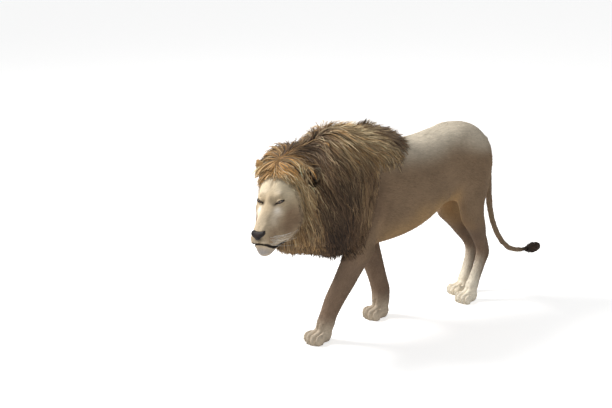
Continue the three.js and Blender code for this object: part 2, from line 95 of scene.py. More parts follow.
class Part(IntEnum):
    """A kind of body part."""

    TRUNK = 0
    LIMB = 1
    PAW = 2
    HEAD = 3
    TAIL = 4
    EAR = 5

    @classmethod
    def of(cls, node: str) -> "Part":
        """The kind of body part that a node is."""
        if "paw" in node:
            return cls.PAW
        for part, nodes in ((cls.TRUNK, TRUNK), (cls.TAIL, TAIL), (cls.HEAD, HEAD + FILL), (cls.EAR, EARS)):
            if node in nodes:
                return part
        return cls.LIMB


@dataclass(frozen=True)
class PartSizes:
    """How deep the skin lies in a part's solid and how far it is evened, and the tufts that grow there."""

    depth: float
    ease: float
    length: float
    width: float
    density: float


SIZES = {
    Part.TRUNK: PartSizes(5.5, 0.85, 26, 4.2, 36e3),
    Part.LIMB: PartSizes(2.6, 0.32, 19, 3.2, 56e3),
    Part.PAW: PartSizes(1.2, 0.05, 12, 2.6, 80e3),
    Part.HEAD: PartSizes(0.8, 0.12, 9, 1.8, 150e3),
    Part.TAIL: PartSizes(-2.5, 0.06, 20, 3.2, 60e3),
    Part.EAR: PartSizes(0.5, 0.05, 26, 2.6, 120e3),
}


def sizes_of(parts: Array, size: str) -> Array:
    """One of the sizes of each point's part."""
    return np.array([getattr(SIZES[part], size) for part in Part], float)[parts]


def parts_of(nodes: Array) -> Array:
    """The kind of body part that each point's node is."""
    return np.array([Part.of(node) for node in nodes])


def unit(vectors: Array) -> Array:
    """Vectors scaled to a length of one along the last axis."""
    return vectors / np.maximum(np.linalg.norm(vectors, axis=-1, keepdims=True), 1e-12)


def smooth(low: float, high: float, values: Array) -> Array:
    """A soft step from 0 at low to 1 at high."""
    part = np.clip((values - low) / (high - low), 0.0, 1.0)
    return part * part * (3.0 - 2.0 * part)


def bump(values: Array, centre: float, width: float) -> Array:
    """A soft bell of height 1 round a centre."""
    return np.exp(-(((values - centre) / width) ** 2))


def ball(points: Array, at: tuple | Array, reach: tuple | Array | float) -> Array:
    """A soft ball of height 1 round a place, as wide as its reach along each axis."""
    return np.exp(-(((points - np.array(at)) / np.array(reach)) ** 2).sum(1))


def tangent(ways: Array, normals: Array) -> Array:
    """The part of each way that lies along the surface, as a unit vector."""
    return unit(ways - normals * np.sum(ways * normals, axis=-1, keepdims=True))


def tint(red: int, green: int, blue: int) -> Array:
    """A colour given in display values from 0 to 255, in linear light."""
    share = np.array([red, green, blue]) / 255.0
    return np.where(share <= 0.04045, share / 12.92, ((share + 0.055) / 1.055) ** 2.4)


def mix(base: Array, other: Array, share: Array) -> Array:
    """Each colour moved towards another by its share."""
    return base + (other - base) * np.clip(share, 0.0, 1.0)[..., None]


# ---- Meshes from arrays, and arrays from meshes ----
def object_of(name: str, data: bpy.types.ID) -> Piece:
    """Links a mesh, a lamp or a camera into the scene as an object at the origin."""
    made = bpy.data.objects.new(name, data)
    bpy.context.scene.collection.objects.link(made)
    return made


def read(items: bpy.types.bpy_prop_collection, name: str, width: int, kind: type = np.float32) -> Array:
    """One property of every item of a mesh's list, as a row of numbers for each."""
    out = np.empty(len(items) * width, kind)
    items.foreach_get(name, out)
    return out.reshape(-1, width)


def places_of(mesh: Mesh) -> Array:
    """A mesh's points."""
    return read(mesh.vertices, "co", 3).astype(float)


def normals_of(mesh: Mesh) -> Array:
    """The unit normals at a mesh's points."""
    return read(mesh.vertex_normals, "vector", 3).astype(float)


def surface_of(mesh: Mesh) -> tuple[Array, Array]:
    """A mesh's points and the normals there."""
    return places_of(mesh), normals_of(mesh)


def set_places(mesh: Mesh, points: Array) -> None:
    """Moves a mesh's points."""
    mesh.vertices.foreach_set("co", points.astype(np.float32).ravel())
    mesh.update()


def triangles_of(mesh: Mesh) -> tuple[Array, Array]:
    """A mesh's triangles as corners' points and as corners' loops."""
    mesh.calc_loop_triangles()
    corners, loops = (read(mesh.loop_triangles, name, 3, np.int32) for name in ("vertices", "loops"))
    return corners, loops


def mesh_of(name: str, points: Array, triangles: Array) -> Mesh:
    """A mesh from arrays of points and triangles."""
    mesh = bpy.data.meshes.new(name)
    mesh.vertices.add(len(points))
    mesh.vertices.foreach_set("co", points.astype(np.float32).ravel())
    mesh.loops.add(triangles.size)
    mesh.loops.foreach_set("vertex_index", triangles.astype(np.int32).ravel())
    mesh.polygons.add(len(triangles))
    mesh.polygons.foreach_set("loop_start", np.arange(0, triangles.size, 3, dtype=np.int32))
    mesh.update(calc_edges=True)
    return mesh


def paint(mesh: Mesh, colours: Array, name: str = "markings") -> None:
    """Stores a colour for each of a mesh's points."""
    layer = mesh.color_attributes.new(name, "FLOAT_COLOR", "POINT")
    full = np.ones((len(colours), 4), np.float32)
    full[:, :3] = colours
    layer.data.foreach_set("color", full.ravel())


def soften(mesh: Mesh) -> None:
    """Shades every face smooth."""
    mesh.polygons.foreach_set("use_smooth", np.ones(len(mesh.polygons), bool))
    mesh.update()


def wrapped(name: str, nodes: tuple[str, ...], voxel: float) -> Piece:
    """Joins solids of the frame and wraps them in one closed skin of even squares.

    Args:
        name: The new object's name.
        nodes: The solids to wrap.
        voxel: The size of the squares, in metres.

    Returns:
        The wrap as an object of its own.
    """
    shape = bmesh.new()
    for node in nodes:
        shape.from_mesh(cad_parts[node].data)
    bmesh.ops.remove_doubles(shape, verts=shape.verts, dist=2e-6)
    rough = bpy.data.meshes.new(name + "_rough")
    shape.to_mesh(rough)
    shape.free()
    holder = object_of(name + "_rough", rough)
    wrap = holder.modifiers.new("wrap", "REMESH")
    wrap.mode = "VOXEL"
    wrap.voxel_size = voxel
    ready = holder.evaluated_get(bpy.context.evaluated_depsgraph_get())
    mesh = bpy.data.meshes.new_from_object(ready)
    bpy.data.objects.remove(holder)
    bpy.data.meshes.remove(rough)
    mesh.name = name
    return object_of(name, mesh)


class Graph:
    """A node tree, with a short way to add and join its nodes."""

    def __init__(self, tree: NodeTree) -> None:
        """Keeps the tree."""
        self.tree = tree

    def face(self, way: str, kind: str, **values: object) -> None:
        """Adds sockets to a group's face.

        Args:
            way: INPUT or OUTPUT.
            kind: The sockets' kind, such as Float.
            values: The default value for each socket's name, or None.
        """
        for name, value in values.items():
            made = self.tree.interface.new_socket(
                name.replace("_", " "), in_out=way, socket_type=f"NodeSocket{kind}"
            )
            if value is not None:
                made.default_value = value

    def add(self, kind: str, inputs: dict[str | int, object] | None = None, **settings: object) -> bpy.types.Node:
        """Adds a node.

        Args:
            kind: The node's kind.
            inputs: A value, or another node's output to join on, for each input's name or number.
            settings: The node's other properties.

        Returns:
            The node.
        """
        node = self.tree.nodes.new(kind)
        for name, value in settings.items():
            setattr(node, name, value)
        self.fill(node, inputs or {})
        return node

    def fill(self, node: bpy.types.Node, inputs: dict[str | int, object]) -> None:
        """Gives a node's inputs their values, or joins other nodes' outputs to them."""
        for name, value in inputs.items():
            if isinstance(value, bpy.types.NodeSocket):
                self.tree.links.new(value, node.inputs[name])
            else:
                node.inputs[name].default_value = value

    def sum(self, operation: str, one: object, two: object) -> bpy.types.NodeSocket:
        """The result of a sum on two numbers or outputs."""
        return self.add("ShaderNodeMath", {0: one, 1: two}, operation=operation).outputs[0]


def plain_material(name: str) -> tuple[Material, Graph, bpy.types.Node]:
    """A new material, its graph and its surface node."""
    made = bpy.data.materials.new(name)
    made.use_nodes = True
    return made, Graph(made.node_tree), made.node_tree.nodes["Principled BSDF"]


class Net:
    """A skin's points with the ties between neighbours, for evening values out over it."""

    def __init__(self, mesh: Mesh) -> None:
        """Reads the ties from a mesh's edges."""
        self.count = len(mesh.vertices)
        self.one, self.two = read(mesh.edges, "vertices", 2, np.int32).T
        ties = np.bincount(self.one, minlength=self.count) + np.bincount(self.two, minlength=self.count)
        self.ties = np.maximum(ties, 1).astype(float)

    def mean(self, values: Array) -> Array:
        """The mean of each point's neighbours."""
        total = np.empty_like(values)
        for part in range(values.shape[1]):
            total[:, part] = np.bincount(self.one, values[self.two, part], self.count)
            total[:, part] += np.bincount(self.two, values[self.one, part], self.count)
        return total / self.ties[:, None]

    def even(self, values: Array, passes: int, share: Array | float = 0.5) -> Array:
        """Moves each value towards its neighbours' mean.

        Args:
            values: A row of numbers for each point.
            passes: How often to do it.
            share: How far each time, for all points or for each.

        Returns:
            The evened values.
        """
        rate = np.asarray(share, float).reshape(-1, 1)
        for _ in range(passes):
            values = values + rate * (self.mean(values) - values)
        return values


# ---- The head's own frame ----
@dataclass(frozen=True)
class HeadFrame:
    """The head's own place, in its own millimetres: x to its left, y back from the nose's tip, z up."""

    turn: float = 31.5
    nod: float = 12.5
    lean: float = -1.5
    scale: float = 1.09 * MM
    eye: Place = (41.0, 177.0, 65.0)

    def matrix(self) -> Array:
        """The turn and scale from the head's own frame to the model's."""
        turn, nod, lean = np.radians([self.turn, self.nod, self.lean])
        z_turn = np.array([[np.cos(turn), -np.sin(turn), 0], [np.sin(turn), np.cos(turn), 0], [0, 0, 1]])
        x_turn = np.array([[1, 0, 0], [0, np.cos(nod), -np.sin(nod)], [0, np.sin(nod), np.cos(nod)]])
        y_turn = np.array([[np.cos(lean), 0, np.sin(lean)], [0, 1, 0], [-np.sin(lean), 0, np.cos(lean)]])
        return z_turn @ x_turn @ y_turn * self.scale

    def origin(self) -> Array:
        """The nose's tip, set from the places of the two eyes."""
        middle = sum(centre_of(side.of("eye")) for side in Side) / 2
        return middle - self.matrix() @ np.array([0.0, *self.eye[1:]])

    def inside(self, points: Array) -> Array:
        """Points of the model in the head's own frame."""
        return (points - self.origin()) @ np.linalg.inv(self.matrix()).T

    def place(self, points: Array) -> Array:
        """Points of the head's own frame in the model."""
        return np.asarray(points, float) @ self.matrix().T + self.origin()

    def way(self, ways: Array) -> Array:
        """Directions of the head's own frame in the model, as unit vectors."""
        return unit(np.asarray(ways, float) @ self.matrix().T)


def centre_of(node: str) -> Array:
    """The middle of a node's box."""
    low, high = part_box(node)
    return np.array((low + high) / 2)


def within(local: Array, back: float, wide: float, low: float) -> Array:
    """Which places of the head lie before a depth, within a width on either side and above a level."""
    return (local[:, 1] < back) & (np.abs(local[:, 0]) < wide) & (local[:, 2] > low)


# ---- The skin ----
@dataclass(frozen=True)
class Stroke:
    """A push on the head, in head millimetres, on both sides where mirrored."""

    at: Place
    reach: Place
    push: float
    mirrored: bool = True

    def weight(self, local: Array) -> Array:
        """How strongly the stroke reaches each point."""
        places = np.column_stack([np.abs(local[:, 0]), local[:, 1:]]) if self.mirrored else local
        return ball(places, self.at, self.reach)


@dataclass(frozen=True)
class Mouth:
    """The line where the lips meet, seen from the side, in head millimetres."""

    route: tuple[tuple[float, float], ...] = (
        (-14, -41), (6, -50), (28, -70), (54, -87), (82, -97), (110, -100), (142, -97)
    )
    corner: float = 134.0
    reach: float = 72.0

    def distance(self, local: Array) -> Array:
        """The distance from the line, above it positive, and far away past its corner."""
        flat = local[:, 1:]
        best = np.full(len(flat), 999.0)
        sign = np.ones(len(flat))
        for start, end in zip(np.array(self.route[:-1]), np.array(self.route[1:])):
            run = end - start
            share = np.clip((flat - start) @ run / (run @ run), 0, 1)
            gap = flat - (start + share[:, None] * run)
            far = np.linalg.norm(gap, axis=1)
            nearer = far < best
            sign[nearer] = np.sign(gap[nearer, 1] * run[0] - gap[nearer, 0] * run[1])
            best[nearer] = far[nearer]
        return best * sign

    def share(self, local: Array) -> Array:
        """How much of the line is there: all of it in front, none past the corner."""
        return 1.0 - smooth(self.corner - 8, self.corner + 10, local[:, 1])


@dataclass(frozen=True)
class EyeShape:
    """An eye's ball and the opening of its lids, in head millimetres."""

    radius: float = 19.5
    outward: Place = (0.44, -0.79, 0.43)
    along: Place = (0.84, 0.50, 0.22)
    half_length: float = 17.5
    upper: float = 3.2
    lower: float = 2.9
    lid: float = 2.6

    def centre(self, head: HeadFrame, side: Side) -> Array:
        """The ball's middle."""
        x, y, z = head.eye
        return np.array([side.value * x, y, z])

    def axes(self, side: Side) -> Array:
        """Three rows: along the lids to the outer corner, up across them, and outwards."""
        mirror = np.array([side.value, 1, 1])
        out = unit(np.array(self.outward) * mirror)
        along = unit(np.array(self.along) * mirror - out * np.dot(np.array(self.along) * mirror, out))
        up = np.cross(out, along)
        return np.array([along, up * np.sign(up[2]), out])

    def opening(self, places: Array) -> Array:
        """The distance from the lids' edge for places along the axes, below zero inside the opening."""
        along, up = places[:, 0], places[:, 1]
        arch = 1.0 - (np.clip(np.abs(along), 0, self.half_length) / self.half_length) ** 2
        tall = np.where(up > 0, self.upper, self.lower) * arch
        past = np.maximum(np.abs(along) - self.half_length, 0.0)
        return np.where(past > 0, np.hypot(past, up), np.abs(up) - tall)


@dataclass
class Skin:
    """One closed skin that stands for every node of flesh, and lies inside them by the coat's depth."""

    head: HeadFrame
    mouth: Mouth
    eye: EyeShape
    square: float = 10.8 * MM
    passes: int = 40
    blend: int = 6
    sole: float = 6 * MM
    socket_reach: float = 52
    lid_reach: float = 31
    paws: tuple[tuple[str, float], ...] = (
        ("forepaw_left", 6), ("forepaw_right", 2), ("hindpaw_left", 5), ("hindpaw_right", -4)
    )
    strokes: tuple[Stroke, ...] = (
        Stroke((24, 158, 60), (11, 17, 14), -6.5),
        Stroke((0, 166, 86), (16, 32, 16), 8.0, False),
        Stroke((44, 181, 93), (22, 12, 11), 7.0),
        Stroke((24, 170, 86), (11, 13, 12), 3.0),
        Stroke((0, 222, 128), (9, 42, 16), -4.5, False),
        Stroke((26, 228, 132), (16, 34, 18), 3.0),
        Stroke((52, 160, 38), (16, 16, 12), -3.0),
        Stroke((68, 182, 24), (18, 40, 15), 6.0),
        Stroke((60, 132, -16), (16, 34, 18), -5.5),
        Stroke((80, 205, -62), (20, 40, 38), 5.0),
        Stroke((82, 228, 72), (18, 28, 26), -4.0),
        Stroke((33, 32, -42), (15, 27, 19), 8.0),
        Stroke((46, 82, -38), (12, 16, 26), -6.0),
        Stroke((25, 48, -6), (9, 34, 10), -3.0),
        Stroke((15, 40, 14), (12, 44, 9), 3.0),
        Stroke((28, 96, 26), (8, 46, 12), -3.0),
        Stroke((0, 10, -78), (34, 26, 12), -3.0, False),
        Stroke((0, 20, -112), (44, 46, 24), 12.0, False),
        Stroke((0, 80, -124), (46, 50, 20), 8.0, False),
        Stroke((0, 2, -84), (26, 16, 10), 3.0, False),
        Stroke((62, 128, -88), (14, 16, 20), 3.0),
    )
    swells: tuple[tuple[str, Place, Place, float], ...] = (
        ("elbow", (0.075, 0.015, 0.09), (0.07, 0.035, 0.11), 11.6),
        ("elbow", (0.075, 0.095, 0.07), (0.07, 0.028, 0.10), -13.0),
        ("elbow", (0.06, 0.070, -0.02), (0.06, 0.030, 0.03), 10.2),
        ("elbow", (0.05, -0.06, 0.00), (0.06, 0.040, 0.06), 5.8),
        ("thigh", (0.05, -0.24, 0.08), (0.05, 0.060, 0.022), 13.0),
        ("thigh", (0.05, -0.17, 0.03), (0.06, 0.040, 0.05), -11.6),
        ("thigh", (0.05, -0.10, -0.02), (0.06, 0.045, 0.07), 10.2),
        ("thigh", (0.06, 0.02, 0.20), (0.06, 0.090, 0.10), 8.7),
        ("thigh", (0.06, 0.09, 0.02), (0.05, 0.022, 0.12), -7.2),
        ("thigh", (0.05, -0.16, 0.30), (0.06, 0.080, 0.10), -8.7),
        ("thigh", (0.00, -0.06, 0.42), (0.05, 0.050, 0.05), 10.2),
        ("shank", (0.03, 0.05, -0.02), (0.05, 0.018, 0.09), -5.8),
        ("forearm", (0.04, 0.00, 0.06), (0.05, 0.040, 0.10), 5.8),
    )

    def build(self) -> Piece:
        """Wraps the flesh, evens it, models the head and paws, and joins the ears on."""
        self.piece = wrapped("lion_skin", FLESH + FILL, self.square)
        mesh = self.piece.data
        points = places_of(mesh)
        net = Net(mesh)
        parts = parts_of(nearest_nodes(points, FLESH + FILL)[0])
        ease = net.even(sizes_of(parts, "ease")[:, None], self.blend)[:, 0]
        level = points[:, 2] < self.sole
        evened = net.even(points, self.passes, ease)
        evened[level, 2] = points[level, 2]
        set_places(mesh, evened)
        depth = net.even(sizes_of(parts, "depth")[:, None] * MM, self.blend)
        inner = evened - normals_of(mesh) * depth * (~level)[:, None]
        set_places(mesh, inner)
        self.swell_body()
        self.refine()
        self.model_head()
        self.crease_paws()
        self.add_ears()
        soften(self.piece.data)
        return self.piece

    def swell_body(self) -> None:
        """Presses the muscles and hollows of the shoulders, flanks and thighs, each set from a node's middle."""
        mesh = self.piece.data
        points, normals = surface_of(mesh)
        push = np.zeros(len(points))
        for side in Side:
            for limb, offset, reach, size in self.swells:
                at = centre_of(side.of(limb)) + np.array(offset) * [side.value, 1, 1]
                push += size * MM * ball(points, at, reach)
        set_places(mesh, points + normals * push[:, None])

    def refine(self) -> None:
        """Splits the squares of the head and paws, then again round the eyes, nose and mouth."""
        low_paw = max(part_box(f"{limb}_left")[1].z for limb in ("forepaw", "hindpaw")) + 10 * MM
        self.split(lambda points: self.on_head(points) | (points[:, 2] < low_paw))
        self.split(lambda points: self.on_face(points) | self.on_toes(points))
        self.split(lambda points: self.from_eyes(self.head.inside(points)) < self.lid_reach)

    def on_head(self, points: Array) -> Array:
        """Which points lie on the head where no mane hides it."""
        return within(self.head.inside(points), 285, 125, -165)

    def on_face(self, points: Array) -> Array:
        """Which points lie on the muzzle or round the eyes."""
        local = self.head.inside(points)
        return within(local, 136, 80, -140) | (self.from_eyes(local) < self.socket_reach)

    def on_toes(self, points: Array) -> Array:
        """Which points lie on the toes of a paw."""
        out = np.zeros(len(points), bool)
        for paw, turn in self.paws:
            across, ahead = self.on_paw(paw, turn, points)
            out |= (np.abs(across) < 1.2) & (ahead > -0.2) & (ahead < 1.6) & (points[:, 2] < 0.1)
        return out

    def from_eyes(self, local: Array) -> Array:
        """The distance from the nearer eye's middle."""
        both = [np.linalg.norm(local - self.eye.centre(self.head, side), axis=1) for side in Side]
        return np.minimum(*both)

    def split(self, rule: Callable[[Array], Array]) -> None:
        """Splits each square whose points all pass a rule in four, and rounds it off."""
        mesh = self.piece.data
        inside = rule(places_of(mesh))
        shape = bmesh.new()
        shape.from_mesh(mesh)
        shape.verts.ensure_lookup_table()
        edges = [e for e in shape.edges if inside[e.verts[0].index] and inside[e.verts[1].index]]
        bmesh.ops.subdivide_edges(shape, edges=edges, cuts=1, use_grid_fill=True)
        shape.to_mesh(mesh)
        shape.free()
        points = places_of(mesh)
        chosen = rule(points) & (points[:, 2] > self.sole)
        set_places(mesh, Net(mesh).even(points, 5, 0.5 * chosen))

    def model_head(self) -> None:
        """Presses the strokes, the mouth and the lids into the head."""
        mesh = self.piece.data
        points, normals = surface_of(mesh)
        local = self.head.inside(points)
        near = within(local, 330, 130, -170) & (local[:, 1] > -60)
        way = unit(normals @ np.linalg.inv(self.head.matrix()).T)
        push = sum(stroke.push * stroke.weight(local) for stroke in self.strokes)
        gap = self.mouth.distance(local)
        lips = self.mouth.share(local) * (np.abs(local[:, 0]) < self.mouth.reach)
        push += lips * (-6.0 * bump(gap, 0, 2.8) + 1.8 * bump(gap, 7, 5) + 1.2 * bump(gap, -6, 4))
        cleft = bump(local[:, 0], 0, 3.0) * (local[:, 1] < 12) * smooth(-54, -50, local[:, 2]) * (local[:, 2] < -16)
        push += -4.0 * cleft
        push += -9.0 * ball(local, (0, 2, -14), (25, 15, 16))
        local = local + way * (push * near)[:, None]
        for side in Side:
            local = self.lids(local, side)
        points[near] = self.head.place(local[near])
        set_places(mesh, points)

    def lids(self, local: Array, side: Side) -> Array:
        """Lays the lids over an eye's ball and opens them."""
        centre, axes = self.eye.centre(self.head, side), self.eye.axes(side)
        places = (local - centre) @ axes.T
        far = np.linalg.norm(places, axis=1)
        ways = places / np.maximum(far, 1e-6)[:, None]
        radius = self.eye.radius
        edge = self.eye.opening(ways * radius)
        near = (far < 44) & (ways[:, 2] > 0.05)
        lid = radius + self.eye.lid * bump(edge, 1.5, 9.0) + 0.9 * bump(edge, 1.6, 1.6)
        crease = -0.8 * bump(edge, 7.5, 2.2) * (places[:, 1] > 0)
        hold = 1.0 - smooth(3.0, 15.0, edge)
        closed = far + (np.maximum(lid, radius + 1.2) - far) * hold + crease
        closed = np.maximum(closed, radius + 1.1)
        sunk = radius - 5.5 * smooth(0.2, 2.4, -edge)
        wanted = np.where(edge < 0, np.minimum(sunk, closed), closed)
        moved = centre + (ways * wanted[:, None]) @ axes
        return np.where(near[:, None], moved, local)

    def crease_paws(self) -> None:
        """Parts the four toes of each paw, and rounds them off."""
        mesh = self.piece.data
        for paw, turn in self.paws:
            points, normals = surface_of(mesh)
            across, ahead = self.on_paw(paw, turn, points)
            toes = smooth(-0.15, 0.35, ahead) * (points[:, 2] > 4 * MM) * (points[:, 2] < 0.105)
            toes *= (np.abs(across) < 0.66) & (ahead < 1.4)
            gaps = sum(bump(across, at * 0.5, 0.085) for at in (-1, 0, 1))
            crowns = sum(bump(across, at * 0.25, 0.14) for at in (-3, -1, 1, 3))
            knuckle = bump(ahead, 0.42, 0.22) * smooth(0.03, 0.06, points[:, 2])
            push = toes * (-7.5 * gaps + 2.2 * crowns + 2.0 * knuckle) * MM
            set_places(mesh, points + normals * push[:, None])

    @staticmethod
    def on_paw(paw: str, turn: float, points: Array) -> tuple[Array, Array]:
        """Where points lie on a paw.

        Args:
            paw: The paw's node.
            turn: Its turn outwards, in degrees.
            points: The points, in metres.

        Returns:
            How far across and ahead of its middle, as shares of half its width.
        """
        low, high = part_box(paw)
        turn = np.radians(turn)
        along, side = np.array([np.sin(turn), -np.cos(turn)]), np.array([np.cos(turn), np.sin(turn)])
        half = (high.x - low.x) / 2
        away = points[:, :2] - np.array([(low.x + high.x) / 2, (low.y + high.y) / 2])
        return away @ side / half, away @ along / half

    def add_ears(self) -> None:
        """Joins the two ears' own wraps onto the skin."""
        shape = bmesh.new()
        shape.from_mesh(self.piece.data)
        for node in EARS:
            ear = wrapped(node + "_skin", (node,), 3.5 * MM)
            set_places(ear.data, Net(ear.data).even(places_of(ear.data), 8, 0.4))
            shape.from_mesh(ear.data)
            bpy.data.objects.remove(ear)
        shape.to_mesh(self.piece.data)
        shape.free()


def tree_of(nodes: tuple[str, ...]) -> tuple[BVHTree, list[str]]:
    """A search tree over nodes' faces, and the node that each face belongs to."""
    points, faces, owners = [], [], []
    for node in nodes:
        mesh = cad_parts[node].data
        start = len(points)
        points += [tuple(v.co) for v in mesh.vertices]
        faces += [[start + i for i in p.vertices] for p in mesh.polygons]
        owners += [node] * len(mesh.polygons)
    return BVHTree.FromPolygons(points, faces), owners


def nearest_nodes(points: Array, nodes: tuple[str, ...]) -> tuple[Array, Array]:
    """The node nearest to each point, and its distance."""
    tree, owners = tree_of(nodes)
    found = [tree.find_nearest(p) for p in points.tolist()]
    return np.array([owners[hit[2]] for hit in found]), np.array([hit[3] for hit in found])


# ---- Colours of the coat ----
Tone = tuple[int, int, int]


@dataclass(frozen=True)
class CoatTones:
    """The short coat's colours, as display values, some of them painted light and painted shade."""

    # flank, shoulder, leg and tail tones: the coat's tawny, partly darkened as painted shade on both sides alike
    flank: Tone = (139, 116, 92)
    # back and rump: paler tones for the top of the back and the rump, painted light where the light falls from above
    back: Tone = (213, 200, 178)
    rump: Tone = (208, 194, 172)
    belly: Tone = (176, 143, 102)
    shaded_leg: Tone = (126, 105, 87)
    shaded_shoulder: Tone = (114, 93, 74)
    # paw and forepaw: the pale feet, the hind ones lighter as partly painted light and the fore ones darker as
    # partly painted shade
    paw: Tone = (238, 227, 206)
    forepaw: Tone = (192, 177, 156)
    # a dark brown: the elbow tuft, and painted shade in the armpit, the groin and on the backs of the hind shins
    dark_hair_and_shade: Tone = (112, 88, 66)
    face: Tone = (186, 166, 136)
    bridge: Tone = (176, 160, 136)
    # forehead: a paler tone for the forehead, partly painted light
    lit_forehead: Tone = (212, 197, 168)
    # cheek: a darker brown for the cheeks, painted shade
    shaded_cheek: Tone = (118, 95, 74)
    # muzzle: a darker brown for the sides of the muzzle and the lower pads, partly painted shade
    muzzle: Tone = (152, 129, 104)
    pale: Tone = (224, 208, 184)
    under_eye: Tone = (248, 240, 228)
    # chin: a grey for the white chin, painted shade
    shaded_chin: Tone = (160, 154, 152)
    streak: Tone = (110, 80, 54)
    rim: Tone = (26, 20, 17)
    tail: Tone = (138, 118, 96)
    tail_end: Tone = (46, 37, 32)
    # ear_dark: the black backs of the ears, and painted shade in their hollows
    ear_dark: Tone = (52, 40, 32)
    ear_gold: Tone = (188, 144, 86)


@dataclass(frozen=True)
class Patch:
    """A soft patch of one of the coat's tones on both sides of the head, in head millimetres."""

    tone: str
    at: Place
    reach: Place
    share: float


PATCHES = (
    # muzzle patches: partly painted shade on the sides of the muzzle and the pads
    Patch("muzzle", (46, 70, -24), (26, 60, 44), 0.9),
    # cheek patches here and below: painted shade on the cheeks and below the eyes
    Patch("shaded_cheek", (78, 150, -40), (34, 60, 52), 0.9),
    Patch("shaded_cheek", (78, 172, 6), (24, 54, 36), 0.75),
    Patch("muzzle", (40, 26, -38), (20, 34, 24), 0.8),
    Patch("shaded_cheek", (98, 215, -30), (42, 60, 60), 0.85),
    # forehead patches: partly painted light on the top of the head
    Patch("lit_forehead", (28, 225, 128), (50, 46, 34), 0.8),
    Patch("lit_forehead", (68, 226, 88), (34, 42, 28), 0.8),
    Patch("bridge", (0, 70, 30), (24, 62, 30), 0.75),
    Patch("pale", (40, 138, 34), (23, 36, 22), 0.95),
    Patch("under_eye", (40, 140, 43), (13, 17, 12), 0.6),
    Patch("pale", (34, 104, 12), (18, 38, 24), 0.6),
    Patch("shaded_cheek", (53, 121, 13), (11, 18, 12), 0.5),
    Patch("pale", (14, 60, 8), (12, 50, 12), 0.35),
    Patch("pale", (34, 196, 104), (16, 16, 12), 0.45),
    Patch("pale", (20, 12, -40), (16, 26, 14), 0.4),
    # chin patches: painted shade on the white chin and under the jaw
    Patch("shaded_chin", (0, 14, -98), (46, 50, 28), 0.9),
    Patch("shaded_chin", (40, 90, -112), (26, 60, 16), 0.6),
    Patch("streak", (8, 232, 130), (4, 26, 20), 0.5),
    Patch("streak", (20, 244, 140), (3, 18, 16), 0.35),
    Patch("streak", (24, 150, 48), (5, 22, 16), 0.45),
    Patch("rim", (0, 2, -26), (20, 14, 13), 0.8),
)


